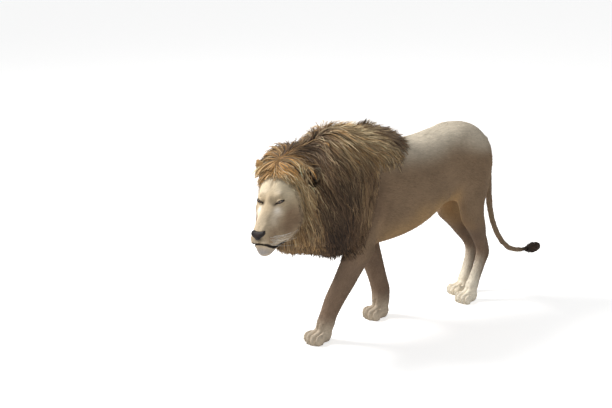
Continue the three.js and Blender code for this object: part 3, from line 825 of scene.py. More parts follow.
@dataclass(frozen=True)
class Markings:
    """The coat's pattern with painted light and painted shade laid in, the same for the skin and for the tufts that
    grow from it.
    """

    head: HeadFrame
    mouth: Mouth
    eye: EyeShape
    tones: CoatTones = CoatTones()

    def colours(self, points: Array, normals: Array, nodes: Array) -> Array:
        """The coat's colour at points of the skin, with painted light and painted shade.

        Args:
            points: The points, in metres.
            normals: The skin's normals there.
            nodes: The name of the node of flesh under each.

        Returns:
            A colour for each point, in linear light.
        """
        tone = {name: tint(*getattr(self.tones, name)) for name in self.tones.__dataclass_fields__}
        y, z, up = points[:, 1], points[:, 2], normals[:, 2]
        parts = parts_of(nodes)
        on_tail = parts == Part.TAIL
        fore, hind = (y < 0.0) * ~on_tail, (y >= 0.0) * ~on_tail
        mirrored = np.abs(points)
        rear = smooth(-0.5, 0.5, normals[:, 1])
        inner = smooth(0.1, 0.7, -np.sign(points[:, 0]) * normals[:, 0]) * (y > 0.1) * (parts == Part.LIMB)
        groin = ball(mirrored, (0.10, 0.13, 0.64), (0.06, 0.035, 0.03))
        armpit = ball(mirrored, (0.06, 0.175, 0.425), (0.06, 0.05, 0.03)) * (y < 0)
        shin = np.isin(nodes, [side.of("metatarsus") for side in Side])
        layers = (
            # back and rump layers: painted light on the upward-facing top of the back and on the rump
            ("back", smooth(0.80, 0.98, z) * smooth(0.15, 0.75, up)),
            ("rump", 0.9 * smooth(0.16, 0.4, y) * smooth(0.86, 1.0, z + 0.10 * up)),
            ("belly", smooth(0.1, 0.75, -up) * smooth(0.30, 0.42, z)),
            # legs below the body: a darker tone, partly painted shade
            ("shaded_leg", 1.0 - smooth(0.40, 0.55, z)),
            # shoulder and upper arm: a darker patch of painted shade
            ("shaded_shoulder", 0.9 * bump(y, -0.40, 0.10) * smooth(0.56, 0.68, z) * (1 - smooth(0.75, 0.95, z))),
            ("belly", 0.8 * ball(mirrored, (0.15, 0.07, 0.62), (0.08, 0.07, 0.055))),
            # forepaws: pale only near the ground, in the darker cream, partly painted shade
            ("forepaw", fore * (1.0 - smooth(0.03, 0.16, z))),
            # hind legs: the pale reaches higher on the front faces than on the backs, painted light on the fronts
            # and painted shade on the backs
            ("paw", hind * (1.0 - smooth(0.10 - 0.05 * rear, 0.30 - 0.17 * rear, z))),
            ("belly", 0.8 * inner * smooth(0.36, 0.5, z) * (1 - smooth(0.74, 0.82, z))),
            # armpit: the dark elbow tuft with painted shade under it; groin: painted shade in the hollow under the
            # belly
            ("dark_hair_and_shade", 0.8 * armpit + 0.5 * groin * (y > 0) * smooth(0.0, 0.6, -up)),
            # backs of the hind shins: painted shade
            ("dark_hair_and_shade", 0.75 * shin * smooth(0.2, 0.9, normals[:, 1])),
            # tail: a darker tone, partly painted shade
            ("tail", on_tail * smooth(0.5, 0.62, y)),
            ("tail_end", on_tail * smooth(0.90, 0.97, y) * (z < 0.3)),
        )
        # base tone for the body: the flank's tawny, partly darkened as painted shade
        out = np.tile(tone["flank"], (len(points), 1))
        for name, share in layers:
            out = mix(out, tone[name], share)
        on_head = np.isin(parts, (Part.HEAD, Part.EAR))
        out[on_head] = self.face(points[on_head], parts[on_head] == Part.EAR, tone)
        return out

    def face(self, points: Array, ears: Array, tone: dict[str, Array]) -> Array:
        """The head's own markings, with painted shade on the cheeks, muzzle, chin and in the ears, and painted light
        on the forehead.
        """
        local = self.head.inside(points)
        x, y, z = np.abs(local[:, 0]), local[:, 1], local[:, 2]
        out = np.tile(tone["face"], (len(points), 1))
        places = np.column_stack([x, y, z])
        for patch in PATCHES:
            out = mix(out, tone[patch.tone], patch.share * ball(places, patch.at, patch.reach))
        out = mix(out, tone["rim"], self.whisker_spots(x, y, z))
        gap = self.mouth.distance(local)
        wide = 3.0 + 4.4 * smooth(10, 90, y)
        share = self.mouth.share(local) * (x < self.mouth.reach)
        out = mix(out, tone["rim"], share * (1.0 - smooth(wide, wide + 2.5, np.abs(gap + 1.0))))
        for side in Side:
            out = mix(out, tone["rim"], self.eyeliner(local, side))
        for side in Side:
            away = points - centre_of(side.of("ear"))
            front = away @ self.head.way(np.array([0.4 * side.value, -0.9, 0.15]))
            radius = np.sqrt(np.maximum((away**2).sum(1) - front**2, 0))
            near = ears & (radius < 0.08)
            behind = smooth(0.002, 0.010, -front) * (1 - smooth(0.03, 0.05, radius))
            # the dark disc round the ear's middle is painted shade in the ear's hollow; the dark patch behind is the
            # ear's own black back
            dark = np.maximum(1 - smooth(0.027, 0.040, radius), behind)
            fur = tone["lit_forehead"] if side is Side.LEFT else tone["ear_gold"]
            out[near] = mix(mix(out, fur, 0.8 * ears), tone["ear_dark"], dark)[near]
        return out

    def whisker_spots(self, x: Array, y: Array, z: Array) -> Array:
        """Rows of small dark spots on the pads of the upper lip."""
        out = np.zeros(len(x))
        for place in whisker_places():
            out = np.maximum(out, 0.62 * ball(np.column_stack([y, z]), place, (2.6, 2.2)))
        return out * smooth(14, 20, x)

    def eyeliner(self, local: Array, side: Side) -> Array:
        """The dark rims of the lids and the tear line from the inner corner."""
        centre, axes = self.eye.centre(self.head, side), self.eye.axes(side)
        places = (local - centre) @ axes.T
        edge = self.eye.opening(places)
        near = (places[:, 2] > 2) & (np.linalg.norm(places, axis=1) < 50)
        rim = 1.0 - smooth(2.6, 4.8, edge)
        inner = bump(places[:, 1] + 0.5 * (-places[:, 0] - 16), 0, 4.4) * smooth(12, 18, -places[:, 0])
        inner *= 1.0 - smooth(27, 38, -places[:, 0])
        outer = bump(places[:, 1] - 0.2 * (places[:, 0] - 16), 0, 3.4) * smooth(13, 17, places[:, 0])
        outer *= 1.0 - smooth(22, 32, places[:, 0])
        return np.maximum.reduce([rim, 0.9 * inner, 0.7 * outer]) * near


def whisker_places() -> list[tuple[float, float]]:
    """Where the whiskers root on the pads, from the side, in head millimetres."""
    rows = ((-26, 26, 5), (-34, 20, 6), (-42, 17, 6), (-50, 17, 6), (-58, 22, 4))
    return [(start + 10.5 * k, level - 3.2 * k) for level, start, count in rows for k in range(count)]


# ---- How the hair lies ----
@dataclass(frozen=True)
class Lie:
    """The way the hair lies over the body, from the nose back and down to the paws and the tail's end."""

    head: HeadFrame

    def by_node(self) -> dict[str, Array]:
        """A way for each node of flesh."""
        ways = {
            "neck": (0, 0.8, -0.5),
            "chest": (0, 1, -0.35),
            "loin": (0, 1, -0.28),
            "rump": (0, 1, -0.55),
            "head": (0, 1, 0),
            "jaw": (0, 1, 0),
        }
        out = {node: unit(np.array(way, float)) for node, way in ways.items()}
        for side in Side:
            for chain in (("elbow", "forearm", "forepaw"), ("thigh", "shank", "metatarsus", "hindpaw")):
                nodes = [side.of(limb) for limb in chain]
                for here, after in zip(nodes, nodes[1:]):
                    out[here] = unit(centre_of(after) - centre_of(here))
                out[nodes[-1]] = unit(np.array([0, -1, -0.5]))
            out[side.of("ear")] = self.head.way(np.array([0.7 * side.value, 0.4, 0.8]))
        chain = TAIL + ("tail_tuft",)
        for here, after in zip(chain, chain[1:]):
            out[here] = unit(centre_of(after) - centre_of(here))
        return out

    def on_skin(self, points: Array, normals: Array, nodes: Array, net: Net) -> Array:
        """The way at each point of the skin."""
        table = self.by_node()
        ways = np.array([table[node] for node in nodes])
        on_head = np.isin(nodes, HEAD)
        local = self.head.inside(points[on_head])
        x, y, z = local.T
        side = np.tanh(x / 30)
        top = smooth(0, 60, z)
        sideways = side * (0.15 + 0.45 * smooth(180, 260, y))
        ways[on_head] = self.head.way(np.column_stack([sideways, np.ones(len(x)), 0.35 * top - 0.5 * (1 - top)]))
        return tangent(net.even(tangent(ways, normals), 14), normals)

    def on_mane(self, points: Array, normals: Array) -> Array:
        """The way at each point of the mane's bulk: round the face, out from the crest and down the sides."""
        local = self.head.inside(points)
        x, y, z = local.T
        ones = np.ones(len(points))
        outward = np.tanh(points[:, 0] / 0.05)
        cape = smooth(-0.52, -0.36, points[:, 1]) * smooth(0.92, 1.0, points[:, 2])
        high = smooth(0.7, 1.0, points[:, 2])
        along = 0.10 + 0.16 * high + 0.7 * cape + 0.9 * bump(points[:, 0], 0, 0.035) * high
        down = np.column_stack([(0.75 - 0.3 * cape) * outward, along, -ones + 0.35 * cape])
        radial = unit(np.column_stack([x, 0 * x, z - 10]))
        parting = np.tanh((x + 22) / 45)
        edge = np.column_stack([parting * np.maximum(radial[:, 2], -0.15), 0 * x, -np.abs(radial[:, 0])])
        brow = bump(y, 275, 75) * smooth(70, 120, z)
        back = 0.34 - 0.95 * brow + 0.9 * bump(x, -22, 30) * smooth(335, 375, y) * smooth(70, 110, z)
        round_face = 0.95 * edge + radial * (0.30 - 0.15 * brow)[:, None] + np.column_stack([0 * x, back, 0 * x])
        round_face = self.head.way(round_face) + np.array([0, 0, -0.45])
        near = (1.0 - smooth(268, 390, y))[:, None]
        return tangent(down * (1 - near) + round_face * near, normals)


# ---- Tufts and locks ----
@dataclass
class Roots:
    """Where hairs grow: their places, the skin's normal, the way they lie, their colour and place on the unwrap."""

    places: Array
    normals: Array
    ways: Array
    colours: Array
    uv: Array
    extra: Array

    def __len__(self) -> int:
        """How many there are."""
        return len(self.places)

    def only(self, chosen: Array) -> "Roots":
        """The chosen ones."""
        parts = (self.places, self.normals, self.ways, self.colours, self.uv, self.extra)
        return Roots(*(part[chosen] for part in parts))


@dataclass
class Ground:
    """A surface for hair to grow on, with its values at each point and its unwrap."""

    mesh: Mesh
    points: Array
    normals: Array
    ways: Array
    colours: Array
    extra: Array

    def scatter(self, density: Array, rng: Chance) -> Roots:
        """Spreads roots over the surface.

        Args:
            density: The roots for each square metre, at each point.
            rng: The seeded source of chance.

        Returns:
            The roots.
        """
        corners, loops = triangles_of(self.mesh)
        a, b, c = (self.points[corners[:, k]] for k in range(3))
        areas = np.linalg.norm(np.cross(b - a, c - a), axis=1) / 2
        wanted = np.cumsum(areas * density[corners].mean(1))
        count = int(wanted[-1])
        chosen = np.searchsorted(wanted, (np.arange(count) + rng.random(count)) * wanted[-1] / count)
        chosen = np.minimum(chosen, len(corners) - 1)
        first, second = np.sqrt(rng.random(count)), rng.random(count)
        shares = np.column_stack([1 - first, first * (1 - second), first * second])[:, :, None]
        flat = read(self.mesh.uv_layers["OFBake"].uv, "vector", 2)

        def at(values: Array) -> Array:
            """The values at the roots."""
            return (values[corners[chosen]] * shares).sum(1)

        normals = unit(at(self.normals))
        ways = tangent(at(self.ways), normals)
        uv = (flat[loops[chosen]] * shares).sum(1)
        return Roots(at(self.points), normals, ways, at(self.colours), uv, at(self.extra))


@dataclass
class Strands:
    """Tapered solid hairs: three-sided, closed at the root and drawn to a point."""

    paths: Array
    sides: Array
    ups: Array
    widths: Array
    thick: Array
    tips: Array
    root_colours: Array
    tip_colours: Array
    uv: Array
    roundness: float = 0.5

    def build(self, name: str) -> Piece:
        """Joins all the hairs into one piece, with their colours and their patches on the unwrap."""
        count, rings = self.paths.shape[:2]
        half = self.sides * self.widths[..., None] / 2
        corners = np.stack([self.paths + half, self.paths - half, self.paths + self.ups * self.thick[..., None]], 2)
        points = np.concatenate([corners.reshape(count, rings * 3, 3), self.tips[:, None]], 1)
        pattern = []
        for ring in range(rings - 1):
            for k in range(3):
                one, two = ring * 3 + k, ring * 3 + (k + 1) % 3
                pattern += [[one, two, two + 3], [one, two + 3, one + 3]]
        last = (rings - 1) * 3
        pattern += [[last + k, last + (k + 1) % 3, rings * 3] for k in range(3)]
        pattern += [[0, 2, 1]]
        size = rings * 3 + 1
        faces = np.array(pattern)[None] + (np.arange(count) * size)[:, None, None]
        faces = faces.reshape(-1, 3)
        mesh = mesh_of(name, points.reshape(-1, 3), faces)
        along = np.concatenate([np.repeat(np.arange(rings) / rings, 3), [1.0]])
        across = np.concatenate([np.tile([1.0, -1.0, 0.0], rings), [0.0]])
        shades = self.root_colours[:, None] * (1 - along)[None, :, None]
        shades = shades + self.tip_colours[:, None] * along[None, :, None]
        paint(mesh, np.clip(shades.reshape(-1, 3), 0, 1))
        patch = np.stack([across * 0.0015, (along - 0.5) * 0.003], 1)
        spread = (np.clip(self.uv, 0.002, 0.998)[:, None] + patch[None]).reshape(-1, 2)
        layer = mesh.uv_layers.new(name="OFBake")
        layer.uv.foreach_set("vector", spread[faces].astype(np.float32).ravel())
        soften(mesh)
        lean = self.sides * self.roundness
        facing = np.stack([self.ups + lean, self.ups - lean, self.ups], 2).reshape(count, rings * 3, 3)
        facing = np.concatenate([facing, self.ups[:, -1:]], 1).reshape(-1, 3)
        mesh.normals_split_custom_set_from_vertices(unit(facing).tolist())
        return object_of(name, mesh)


def unwrap(piece: Piece) -> None:
    """Unwraps a surface by its own shape into the map OFBake."""
    piece.data.uv_layers.new(name="OFBake")
    bpy.context.view_layer.objects.active = piece
    piece.select_set(True)
    bpy.ops.object.mode_set(mode="EDIT")
    bpy.ops.mesh.select_all(action="SELECT")
    bpy.ops.uv.smart_project(angle_limit=1.15, island_margin=0.001)
    bpy.ops.object.mode_set(mode="OBJECT")
    piece.select_set(False)


# ---- The short coat ----
@dataclass
class ShortCoat:
    """Small flat tufts all over the skin that shows, smallest on the face and feet."""

    head: HeadFrame
    slope: float = 0.13
    lengths: tuple[float, float] = (0.65, 1.25)
    widths: tuple[float, float] = (0.8, 1.2)
    spin: float = 0.16
    shading: float = 0.085
    rooted: float = 1.2
    waist: float = -0.12
    middle: float = 0.05

    def build(self, ground: Ground, parts: Array, covered: Array) -> list[Piece]:
        """Grows the tufts as a few pieces, each on its part of the body.

        Args:
            ground: The skin as a surface for hair; its extra values are length and width.
            parts: The kind of body part at each of its points.
            covered: Whether the mane hides each point.

        Returns:
            The pieces.
        """
        rng = np.random.default_rng(SEED)
        local = self.head.inside(ground.points)
        bare = (local[:, 1] < 9) & (local[:, 2] > -34) & (local[:, 2] < 12) & (np.abs(local[:, 0]) < 30)
        low = ground.points[:, 2] < 5 * MM
        density = sizes_of(parts, "density") * ~(covered | bare | low)
        y = ground.points[:, 1]
        trunk, legs = parts == Part.TRUNK, np.isin(parts, (Part.LIMB, Part.PAW))
        groups = {
            "coat_fore": trunk & (y < self.waist),
            "coat_hind": trunk & (y >= self.waist),
            "coat_forelegs": legs & (y < self.middle),
            "coat_hindlegs": legs & (y >= self.middle),
            "coat_head": parts == Part.HEAD,
            "coat_ears_tail": np.isin(parts, (Part.EAR, Part.TAIL)),
        }
        pieces = []
        for name, chosen in groups.items():
            roots = ground.scatter(density * chosen, rng)
            if len(roots):
                pieces.append(self.tufts(name, roots, rng))
                log.info("%s: %d tufts", name, len(roots))
        return pieces

    def tufts(self, name: str, roots: Roots, rng: Chance) -> Piece:
        """One piece of flat tufts."""
        count = len(roots)
        length = roots.extra[:, 0] * MM * rng.uniform(*self.lengths, count)
        width = roots.extra[:, 1] * MM * rng.uniform(*self.widths, count)
        spin = rng.normal(0, self.spin, count)[:, None]
        across = np.cross(roots.ways, roots.normals)
        ways = unit(roots.ways + across * spin)
        rise = (self.slope * np.clip(length / 0.018, 0.4, 1.0) + rng.normal(0, 0.04, count))[:, None]
        lift = unit(ways + roots.normals * rise)
        starts = roots.places - roots.normals * self.rooted * MM
        tips = starts + lift * length[:, None]
        tips[:, 2] = np.maximum(tips[:, 2], 0.6 * MM)
        shade = rng.normal(1.0, self.shading, count)[:, None]
        colours = roots.colours * shade
        # the roots are painted 8% darker as shade at the skin, the tips 7% lighter
        return Strands(
            paths=starts[:, None],
            sides=unit(np.cross(lift, roots.normals))[:, None],
            ups=roots.normals[:, None],
            widths=width[:, None],
            thick=width[:, None] * 0.16,
            tips=tips,
            root_colours=colours * 0.92,
            tip_colours=colours * 1.07,
            uv=roots.uv,
        ).build(name)


# ---- The long hair ----
class ManeTone(Enum):
    """The colours of the mane's locks, as display values."""

    SAND = (226, 202, 160)
    GOLD = (194, 145, 86)
    HONEY = (168, 134, 92)
    STRAW = (202, 178, 138)
    TAN = (146, 121, 91)
    BROWN = (112, 88, 65)
    UMBER = (84, 65, 50)
    BLACK = (48, 38, 31)
    ASH = (126, 110, 92)


@dataclass(frozen=True)
class Dye:
    """Which colours the locks take round a place on either side of the body, in metres."""

    at: Place
    reach: float
    tones: tuple[ManeTone, ...]


SAND, GOLD, HONEY, STRAW, TAN = ManeTone.SAND, ManeTone.GOLD, ManeTone.HONEY, ManeTone.STRAW, ManeTone.TAN
BROWN, UMBER, BLACK, ASH = ManeTone.BROWN, ManeTone.UMBER, ManeTone.BLACK, ManeTone.ASH
FORELOCK = (
    Dye((-0.08, -0.87, 0.95), 0.06, (GOLD, GOLD, STRAW)),
    Dye((-0.06, -0.88, 0.93), 0.05, (GOLD, GOLD, HONEY)),
    Dye((0.00, -0.86, 0.93), 0.06, (HONEY, GOLD, GOLD)),
    Dye((0.05, -0.83, 0.93), 0.05, (GOLD, GOLD, HONEY)),
    Dye((0.06, -0.80, 0.94), 0.05, (GOLD, STRAW, SAND)),
    Dye((0.09, -0.77, 0.92), 0.05, (GOLD, STRAW, SAND)),
    Dye((0.06, -0.77, 0.96), 0.04, (HONEY, TAN, GOLD)),
    Dye((-0.02, -0.83, 0.97), 0.05, (GOLD, HONEY, BROWN, UMBER)),
    Dye((0.04, -0.80, 0.97), 0.05, (HONEY, BROWN, UMBER)),
    Dye((0.08, -0.86, 0.87), 0.04, (SAND, STRAW, GOLD)),
    Dye((0.10, -0.81, 0.80), 0.035, (SAND, STRAW, TAN)),
    # on the lion's right side the forelock's edge is paler straw and sand, partly painted light on the side the
    # light falls on
    Dye((-0.08, -0.84, 0.90), 0.06, (STRAW, GOLD, SAND)),
    Dye((-0.12, -0.88, 0.86), 0.07, (STRAW, SAND, GOLD)),
    Dye((-0.14, -0.88, 0.78), 0.07, (STRAW, TAN, HONEY)),
    Dye((-0.17, -0.82, 0.80), 0.07, (STRAW, TAN, HONEY)),
    Dye((-0.16, -0.84, 0.68), 0.07, (TAN, HONEY, BROWN)),
)
CREST = (
    Dye((-0.02, -0.78, 1.01), 0.07, (UMBER, BLACK, BLACK)),
    Dye((0.03, -0.70, 1.01), 0.07, (UMBER, BLACK, UMBER, BLACK)),
    Dye((0.00, -0.64, 1.06), 0.07, (BLACK, UMBER, BLACK, BROWN)),
    Dye((0.03, -0.57, 1.09), 0.06, (BROWN, TAN, UMBER)),
    Dye((0.02, -0.43, 1.09), 0.05, (GOLD, STRAW, SAND)),
    Dye((0.06, -0.49, 1.08), 0.07, (GOLD, STRAW, TAN, SAND)),
    Dye((0.00, -0.48, 1.09), 0.07, (HONEY, STRAW, TAN)),
    Dye((0.06, -0.37, 1.06), 0.06, (SAND, STRAW, HONEY)),
    Dye((0.00, -0.31, 1.08), 0.05, (BLACK, UMBER)),
    Dye((0.05, -0.27, 1.05), 0.05, (UMBER, ASH, STRAW)),
    Dye((0.05, -0.18, 1.02), 0.07, (TAN, UMBER, ASH)),
)
SHOULDER = (
    Dye((0.13, -0.53, 1.03), 0.06, (SAND, GOLD, STRAW, TAN)),
    Dye((0.11, -0.43, 1.03), 0.06, (GOLD, STRAW, TAN, SAND)),
    Dye((0.12, -0.34, 1.02), 0.05, (SAND, STRAW, SAND)),
    Dye((0.12, -0.28, 1.02), 0.05, (STRAW, TAN, UMBER)),
    Dye((0.11, -0.20, 1.00), 0.06, (BROWN, ASH, UMBER)),
    Dye((0.14, -0.60, 1.00), 0.06, (BROWN, HONEY, STRAW)),
    Dye((0.14, -0.42, 0.98), 0.07, (GOLD, TAN, STRAW)),
    Dye((0.15, -0.36, 0.98), 0.05, (SAND, STRAW, TAN)),
    Dye((0.15, -0.28, 0.95), 0.06, (HONEY, TAN, ASH, STRAW)),
    Dye((0.10, -0.69, 0.96), 0.05, (TAN, BROWN, ASH)),
    Dye((0.17, -0.62, 0.95), 0.06, (TAN, BROWN, STRAW)),
    Dye((0.19, -0.50, 0.95), 0.07, (TAN, STRAW, BROWN, HONEY)),
    Dye((0.18, -0.47, 0.91), 0.06, (TAN, BROWN, HONEY)),
    Dye((0.15, -0.36, 0.91), 0.06, (TAN, HONEY, ASH)),
)
SIDE = (
    # black and umber beside the ears: the dark hair there and painted shade round the ear's hollow
    Dye((0.11, -0.75, 0.88), 0.022, (BLACK, UMBER)),
    Dye((0.14, -0.70, 0.90), 0.04, (BROWN, UMBER, TAN)),
    Dye((0.13, -0.72, 0.82), 0.04, (BROWN, TAN, STRAW)),
    Dye((0.19, -0.63, 0.92), 0.05, (BROWN, TAN, UMBER)),
    Dye((0.21, -0.61, 0.87), 0.06, (BROWN, UMBER, TAN)),
    Dye((0.22, -0.54, 0.85), 0.06, (UMBER, BLACK, BROWN)),
    Dye((0.21, -0.48, 0.86), 0.06, (BROWN, UMBER, BROWN)),
    Dye((0.17, -0.69, 0.79), 0.05, (UMBER, BROWN, TAN)),
    Dye((0.16, -0.69, 0.74), 0.05, (BROWN, UMBER, TAN)),
    Dye((0.23, -0.59, 0.78), 0.07, (BLACK, BLACK, UMBER)),
    Dye((0.22, -0.48, 0.76), 0.06, (TAN, BROWN, BROWN)),
    Dye((0.19, -0.64, 0.67), 0.07, (BLACK, BLACK, UMBER)),
    Dye((0.21, -0.47, 0.66), 0.06, (TAN, BROWN, TAN)),
    Dye((0.17, -0.61, 0.59), 0.07, (BLACK, BLACK, UMBER)),
    Dye((0.18, -0.52, 0.58), 0.06, (BROWN, UMBER)),
)
RUFF = (
    Dye((0.10, -0.78, 0.84), 0.04, (STRAW, SAND, HONEY)),
    Dye((0.12, -0.75, 0.77), 0.04, (STRAW, TAN, HONEY)),
    Dye((0.12, -0.76, 0.70), 0.05, (TAN, HONEY, STRAW)),
    Dye((0.12, -0.78, 0.61), 0.05, (HONEY, TAN, BROWN)),
    Dye((0.09, -0.85, 0.60), 0.05, (HONEY, TAN, STRAW)),
    Dye((0.06, -0.83, 0.55), 0.05, (HONEY, TAN, BROWN)),
    Dye((0.08, -0.71, 0.53), 0.06, (HONEY, TAN, BROWN)),
    Dye((0.13, -0.60, 0.52), 0.06, (BLACK, UMBER)),
    Dye((0.00, -0.60, 0.48), 0.10, (UMBER, BLACK, BROWN)),
)
DYES = FORELOCK + CREST + SHOULDER + SIDE + RUFF


def tree_over(points: Array) -> KDTree:
    """A search tree over points."""
    tree = KDTree(len(points))
    for index, place in enumerate(points.tolist()):
        tree.insert(place, index)
    tree.balance()
    return tree


def nearest(tree: KDTree, places: Array) -> Array:
    """Which of a tree's points is nearest to each place."""
    return np.array([tree.find(place)[1] for place in places.tolist()])


@dataclass
class Flow:
    """A surface that long hair runs over, with the way and the pace of the hair at each point."""

    points: Array
    normals: Array
    ways: Array
    pace: Array

    def __post_init__(self) -> None:
        """Builds the search tree over its points."""
        self.tree = tree_over(self.points)


@dataclass
class LongHair:
    """A mass of long locks over a bulk of hair, out to the surface of one of the frame's solids."""

    node: str
    head: HeadFrame
    voxel: float = 11 * MM
    inset: float = 15 * MM
    passes: int = 16
    steps: int = 5
    density: float = 33e3
    clumps: int = 2600
    hold: float = 0.5
    droop: float = 0.8
    fall: Place = (0, 0.10, -1.0)
    keep: float = 0.35
    rooted: float = 3
    curl: float = 0.11
    sway: float = 0.045
    roll: float = 0.45

    def bulk(self) -> Piece:
        """The mass of hair under the locks, as a closed form."""
        piece = wrapped(f"{self.node}_bulk", (self.node,), self.voxel)
        mesh = piece.data
        points = Net(mesh).even(places_of(mesh), self.passes, 0.5)
        set_places(mesh, points)
        self.outer = self.outside(points)
        inward = normals_of(mesh) * np.where(self.outer, self.inset, 1 * MM)[:, None]
        set_places(mesh, Net(mesh).even(points - inward, 3, 0.5))
        soften(mesh)
        unwrap(piece)
        return piece

    def outside(self, points: Array) -> Array:
        """Which points face the open, not the flesh inside."""
        _, far = nearest_nodes(points, FLESH)
        return far > 9 * MM

    def lengths(self, points: Array, normals: Array) -> Array:
        """The length of the hair that roots at each point, in metres."""
        local = self.head.inside(points)
        x, y, z = local.T
        face = 1.0 - smooth(250, 380, y)
        crown = face * smooth(70, 140, z)
        out = 0.235 - 0.10 * face - 0.045 * crown - 0.05 * face * smooth(60, 100, -x)
        out = out - 0.09 * smooth(-0.56, -0.44, points[:, 1])
        out = out - 0.10 * (1 - smooth(0.56, 0.68, points[:, 2])) * (1 - face)
        return np.maximum(out - 0.05 * smooth(0.5, 0.95, normals[:, 2]) * (1 - face), 0.06)

    def dyes(self, points: Array, luck: Array) -> Array:
        """A colour for each point, picked from the dyes that reach it by two chances from 0 to 1."""
        either = np.column_stack([np.abs(points[:, 0]), points[:, 1:]])
        weights = []
        for dye in DYES:
            places = points if dye in FORELOCK else either
            far = np.linalg.norm(places - np.array(dye.at), axis=1) / dye.reach
            weights.append(1.0 / (far**3 + 0.03))
        shares = np.array(weights).T ** 1.4
        totals = np.cumsum(shares, 1)
        picks = (totals < (luck[:, 0] * totals[:, -1])[:, None]).sum(1)
        out = np.empty((len(points), 3))
        for index, dye in enumerate(DYES):
            chosen = picks == index
            tones = np.array([tint(*tone.value) for tone in dye.tones])
            out[chosen] = tones[(luck[chosen, 1] * len(tones)).astype(int)]
        return out

    def grow(self, roots: Roots, flow: Flow, lift: Array) -> tuple[Array, Array]:
        """Walks each hair's path over the surface.

        Args:
            roots: The hairs' roots; their extra value is their length.
            flow: The surface that they run over.
            lift: How far each hair's back rises off the surface, and then its tip.

        Returns:
            The paths' points, one row for each hair, and the way up from the surface at each.
        """
        here, way = roots.places.copy(), roots.ways.copy()
        run = np.ones(len(roots))
        step = (roots.extra[:, 0] / self.steps)[:, None]
        up = roots.normals
        hanging = np.zeros(len(roots))
        path, ups = [here - up * self.rooted * MM], [up]
        for k in range(1, self.steps + 1):
            here = here + way * step * (run * (1 - self.droop * hanging))[:, None]
            near = nearest(flow.tree, here)
            up = flow.normals[near]
            run = np.minimum(run, flow.pace[near])
            gap = np.clip(np.sum((here - flow.points[near]) * up, axis=1), -0.02, 0.02)
            hanging = np.clip((-up[:, 2] - 0.15) * 2.2, 0, 1) * (self.droop > 0)
            here = here - up * (gap * (1 - hanging) + np.minimum(gap, 0) * hanging)[:, None]
            wanted = flow.ways[near] * (1 - hanging)[:, None] + np.array(self.fall) * hanging[:, None]
            way = unit(self.keep * way + (1 - self.keep) * wanted)
            share = k / self.steps
            rise = lift[:, 0] * np.sin(np.pi * min(share * 0.82 + 0.06, 1.0)) ** 0.8
            stray = lift[:, 1] * share**1.6
            path.append(here + up * (rise + stray)[:, None])
            ups.append(unit(self.keep * ups[-1] + (1 - self.keep) * up))
        paths = np.stack(path, 1)
        paths[:, 1:-1] = 0.5 * paths[:, 1:-1] + 0.25 * (paths[:, :-2] + paths[:, 2:])
        return paths, np.stack(ups, 1)

    def locks(
        self,
        name: str,
        roots: Roots,
        paths: Array,
        fronts: Array,
        ends: Array,
        rng: Chance,
        size: tuple[float, float],
    ) -> Piece:
        """Shapes the paths into clumped, curled and streaked locks.

        Args:
            name: The piece's name.
            roots: The hairs' roots, with their colours.
            paths: Each hair's path.
            fronts: The way up from the surface along each.
            ends: The colours of their tips.
            rng: The seeded source of chance.
            size: The least and greatest width, in millimetres.

        Returns:
            The piece.
        """
        count, stops = paths.shape[:2]
        share = np.linspace(0, 1, stops)
        seeds = rng.choice(count, min(self.clumps, count), replace=False)
        owner = seeds[nearest(tree_over(roots.places[seeds]), roots.places)]
        pull = (self.hold * share**1.4)[None, :, None]
        gathered = paths[owner] + 0.3 * (paths[:, :1] - paths[owner][:, :1])
        paths = paths + (gathered - paths) * pull
        runs = unit(np.gradient(paths, axis=1))
        ups = unit(fronts - runs * np.sum(fronts * runs, -1, keepdims=True))
        sides = np.cross(runs, ups)
        phase = rng.random(count)[owner] * 6.28 + rng.normal(0, 0.5, count)
        length = np.linalg.norm(np.diff(paths, axis=1), axis=-1).sum(1)
        wave = np.sin(phase[:, None] + share[None] * (length / self.curl)[:, None] * 6.28) * share[None]
        swing = wave * (self.sway * length + 0.004 * rng.normal(0, 1, count))[:, None]
        paths = paths + sides * swing[..., None]
        roll = rng.normal(0, self.roll, count)[:, None, None]
        turned = sides * np.cos(roll) + ups * np.sin(roll)
        raised = ups * np.cos(roll) - sides * np.sin(roll)
        wide = rng.uniform(*size, count)[:, None] * MM
        profile = np.interp(share[:-1], (0, 0.2, 0.55, 0.8, 1.0), (0.7, 1.0, 0.9, 0.62, 0.3))
        shade = rng.lognormal(0, 0.2, count)[owner][:, None] * rng.lognormal(0, 0.16, count)[:, None]
        first, last = ((0.4 * tone[owner] + 0.6 * tone) * shade for tone in (roots.colours, ends))
        # the roots are painted 20% darker as shade where the locks lie over each other, the tips 10% lighter
        return Strands(
            paths=paths[:, :-1],
            sides=turned[:, :-1],
            ups=raised[:, :-1],
            widths=wide * profile[None],
            thick=wide * profile[None] * 0.22,
            tips=paths[:, -1],
            root_colours=first * 0.8,
            tip_colours=last * 1.1,
            uv=roots.uv,
            roundness=0.8,
        ).build(name)


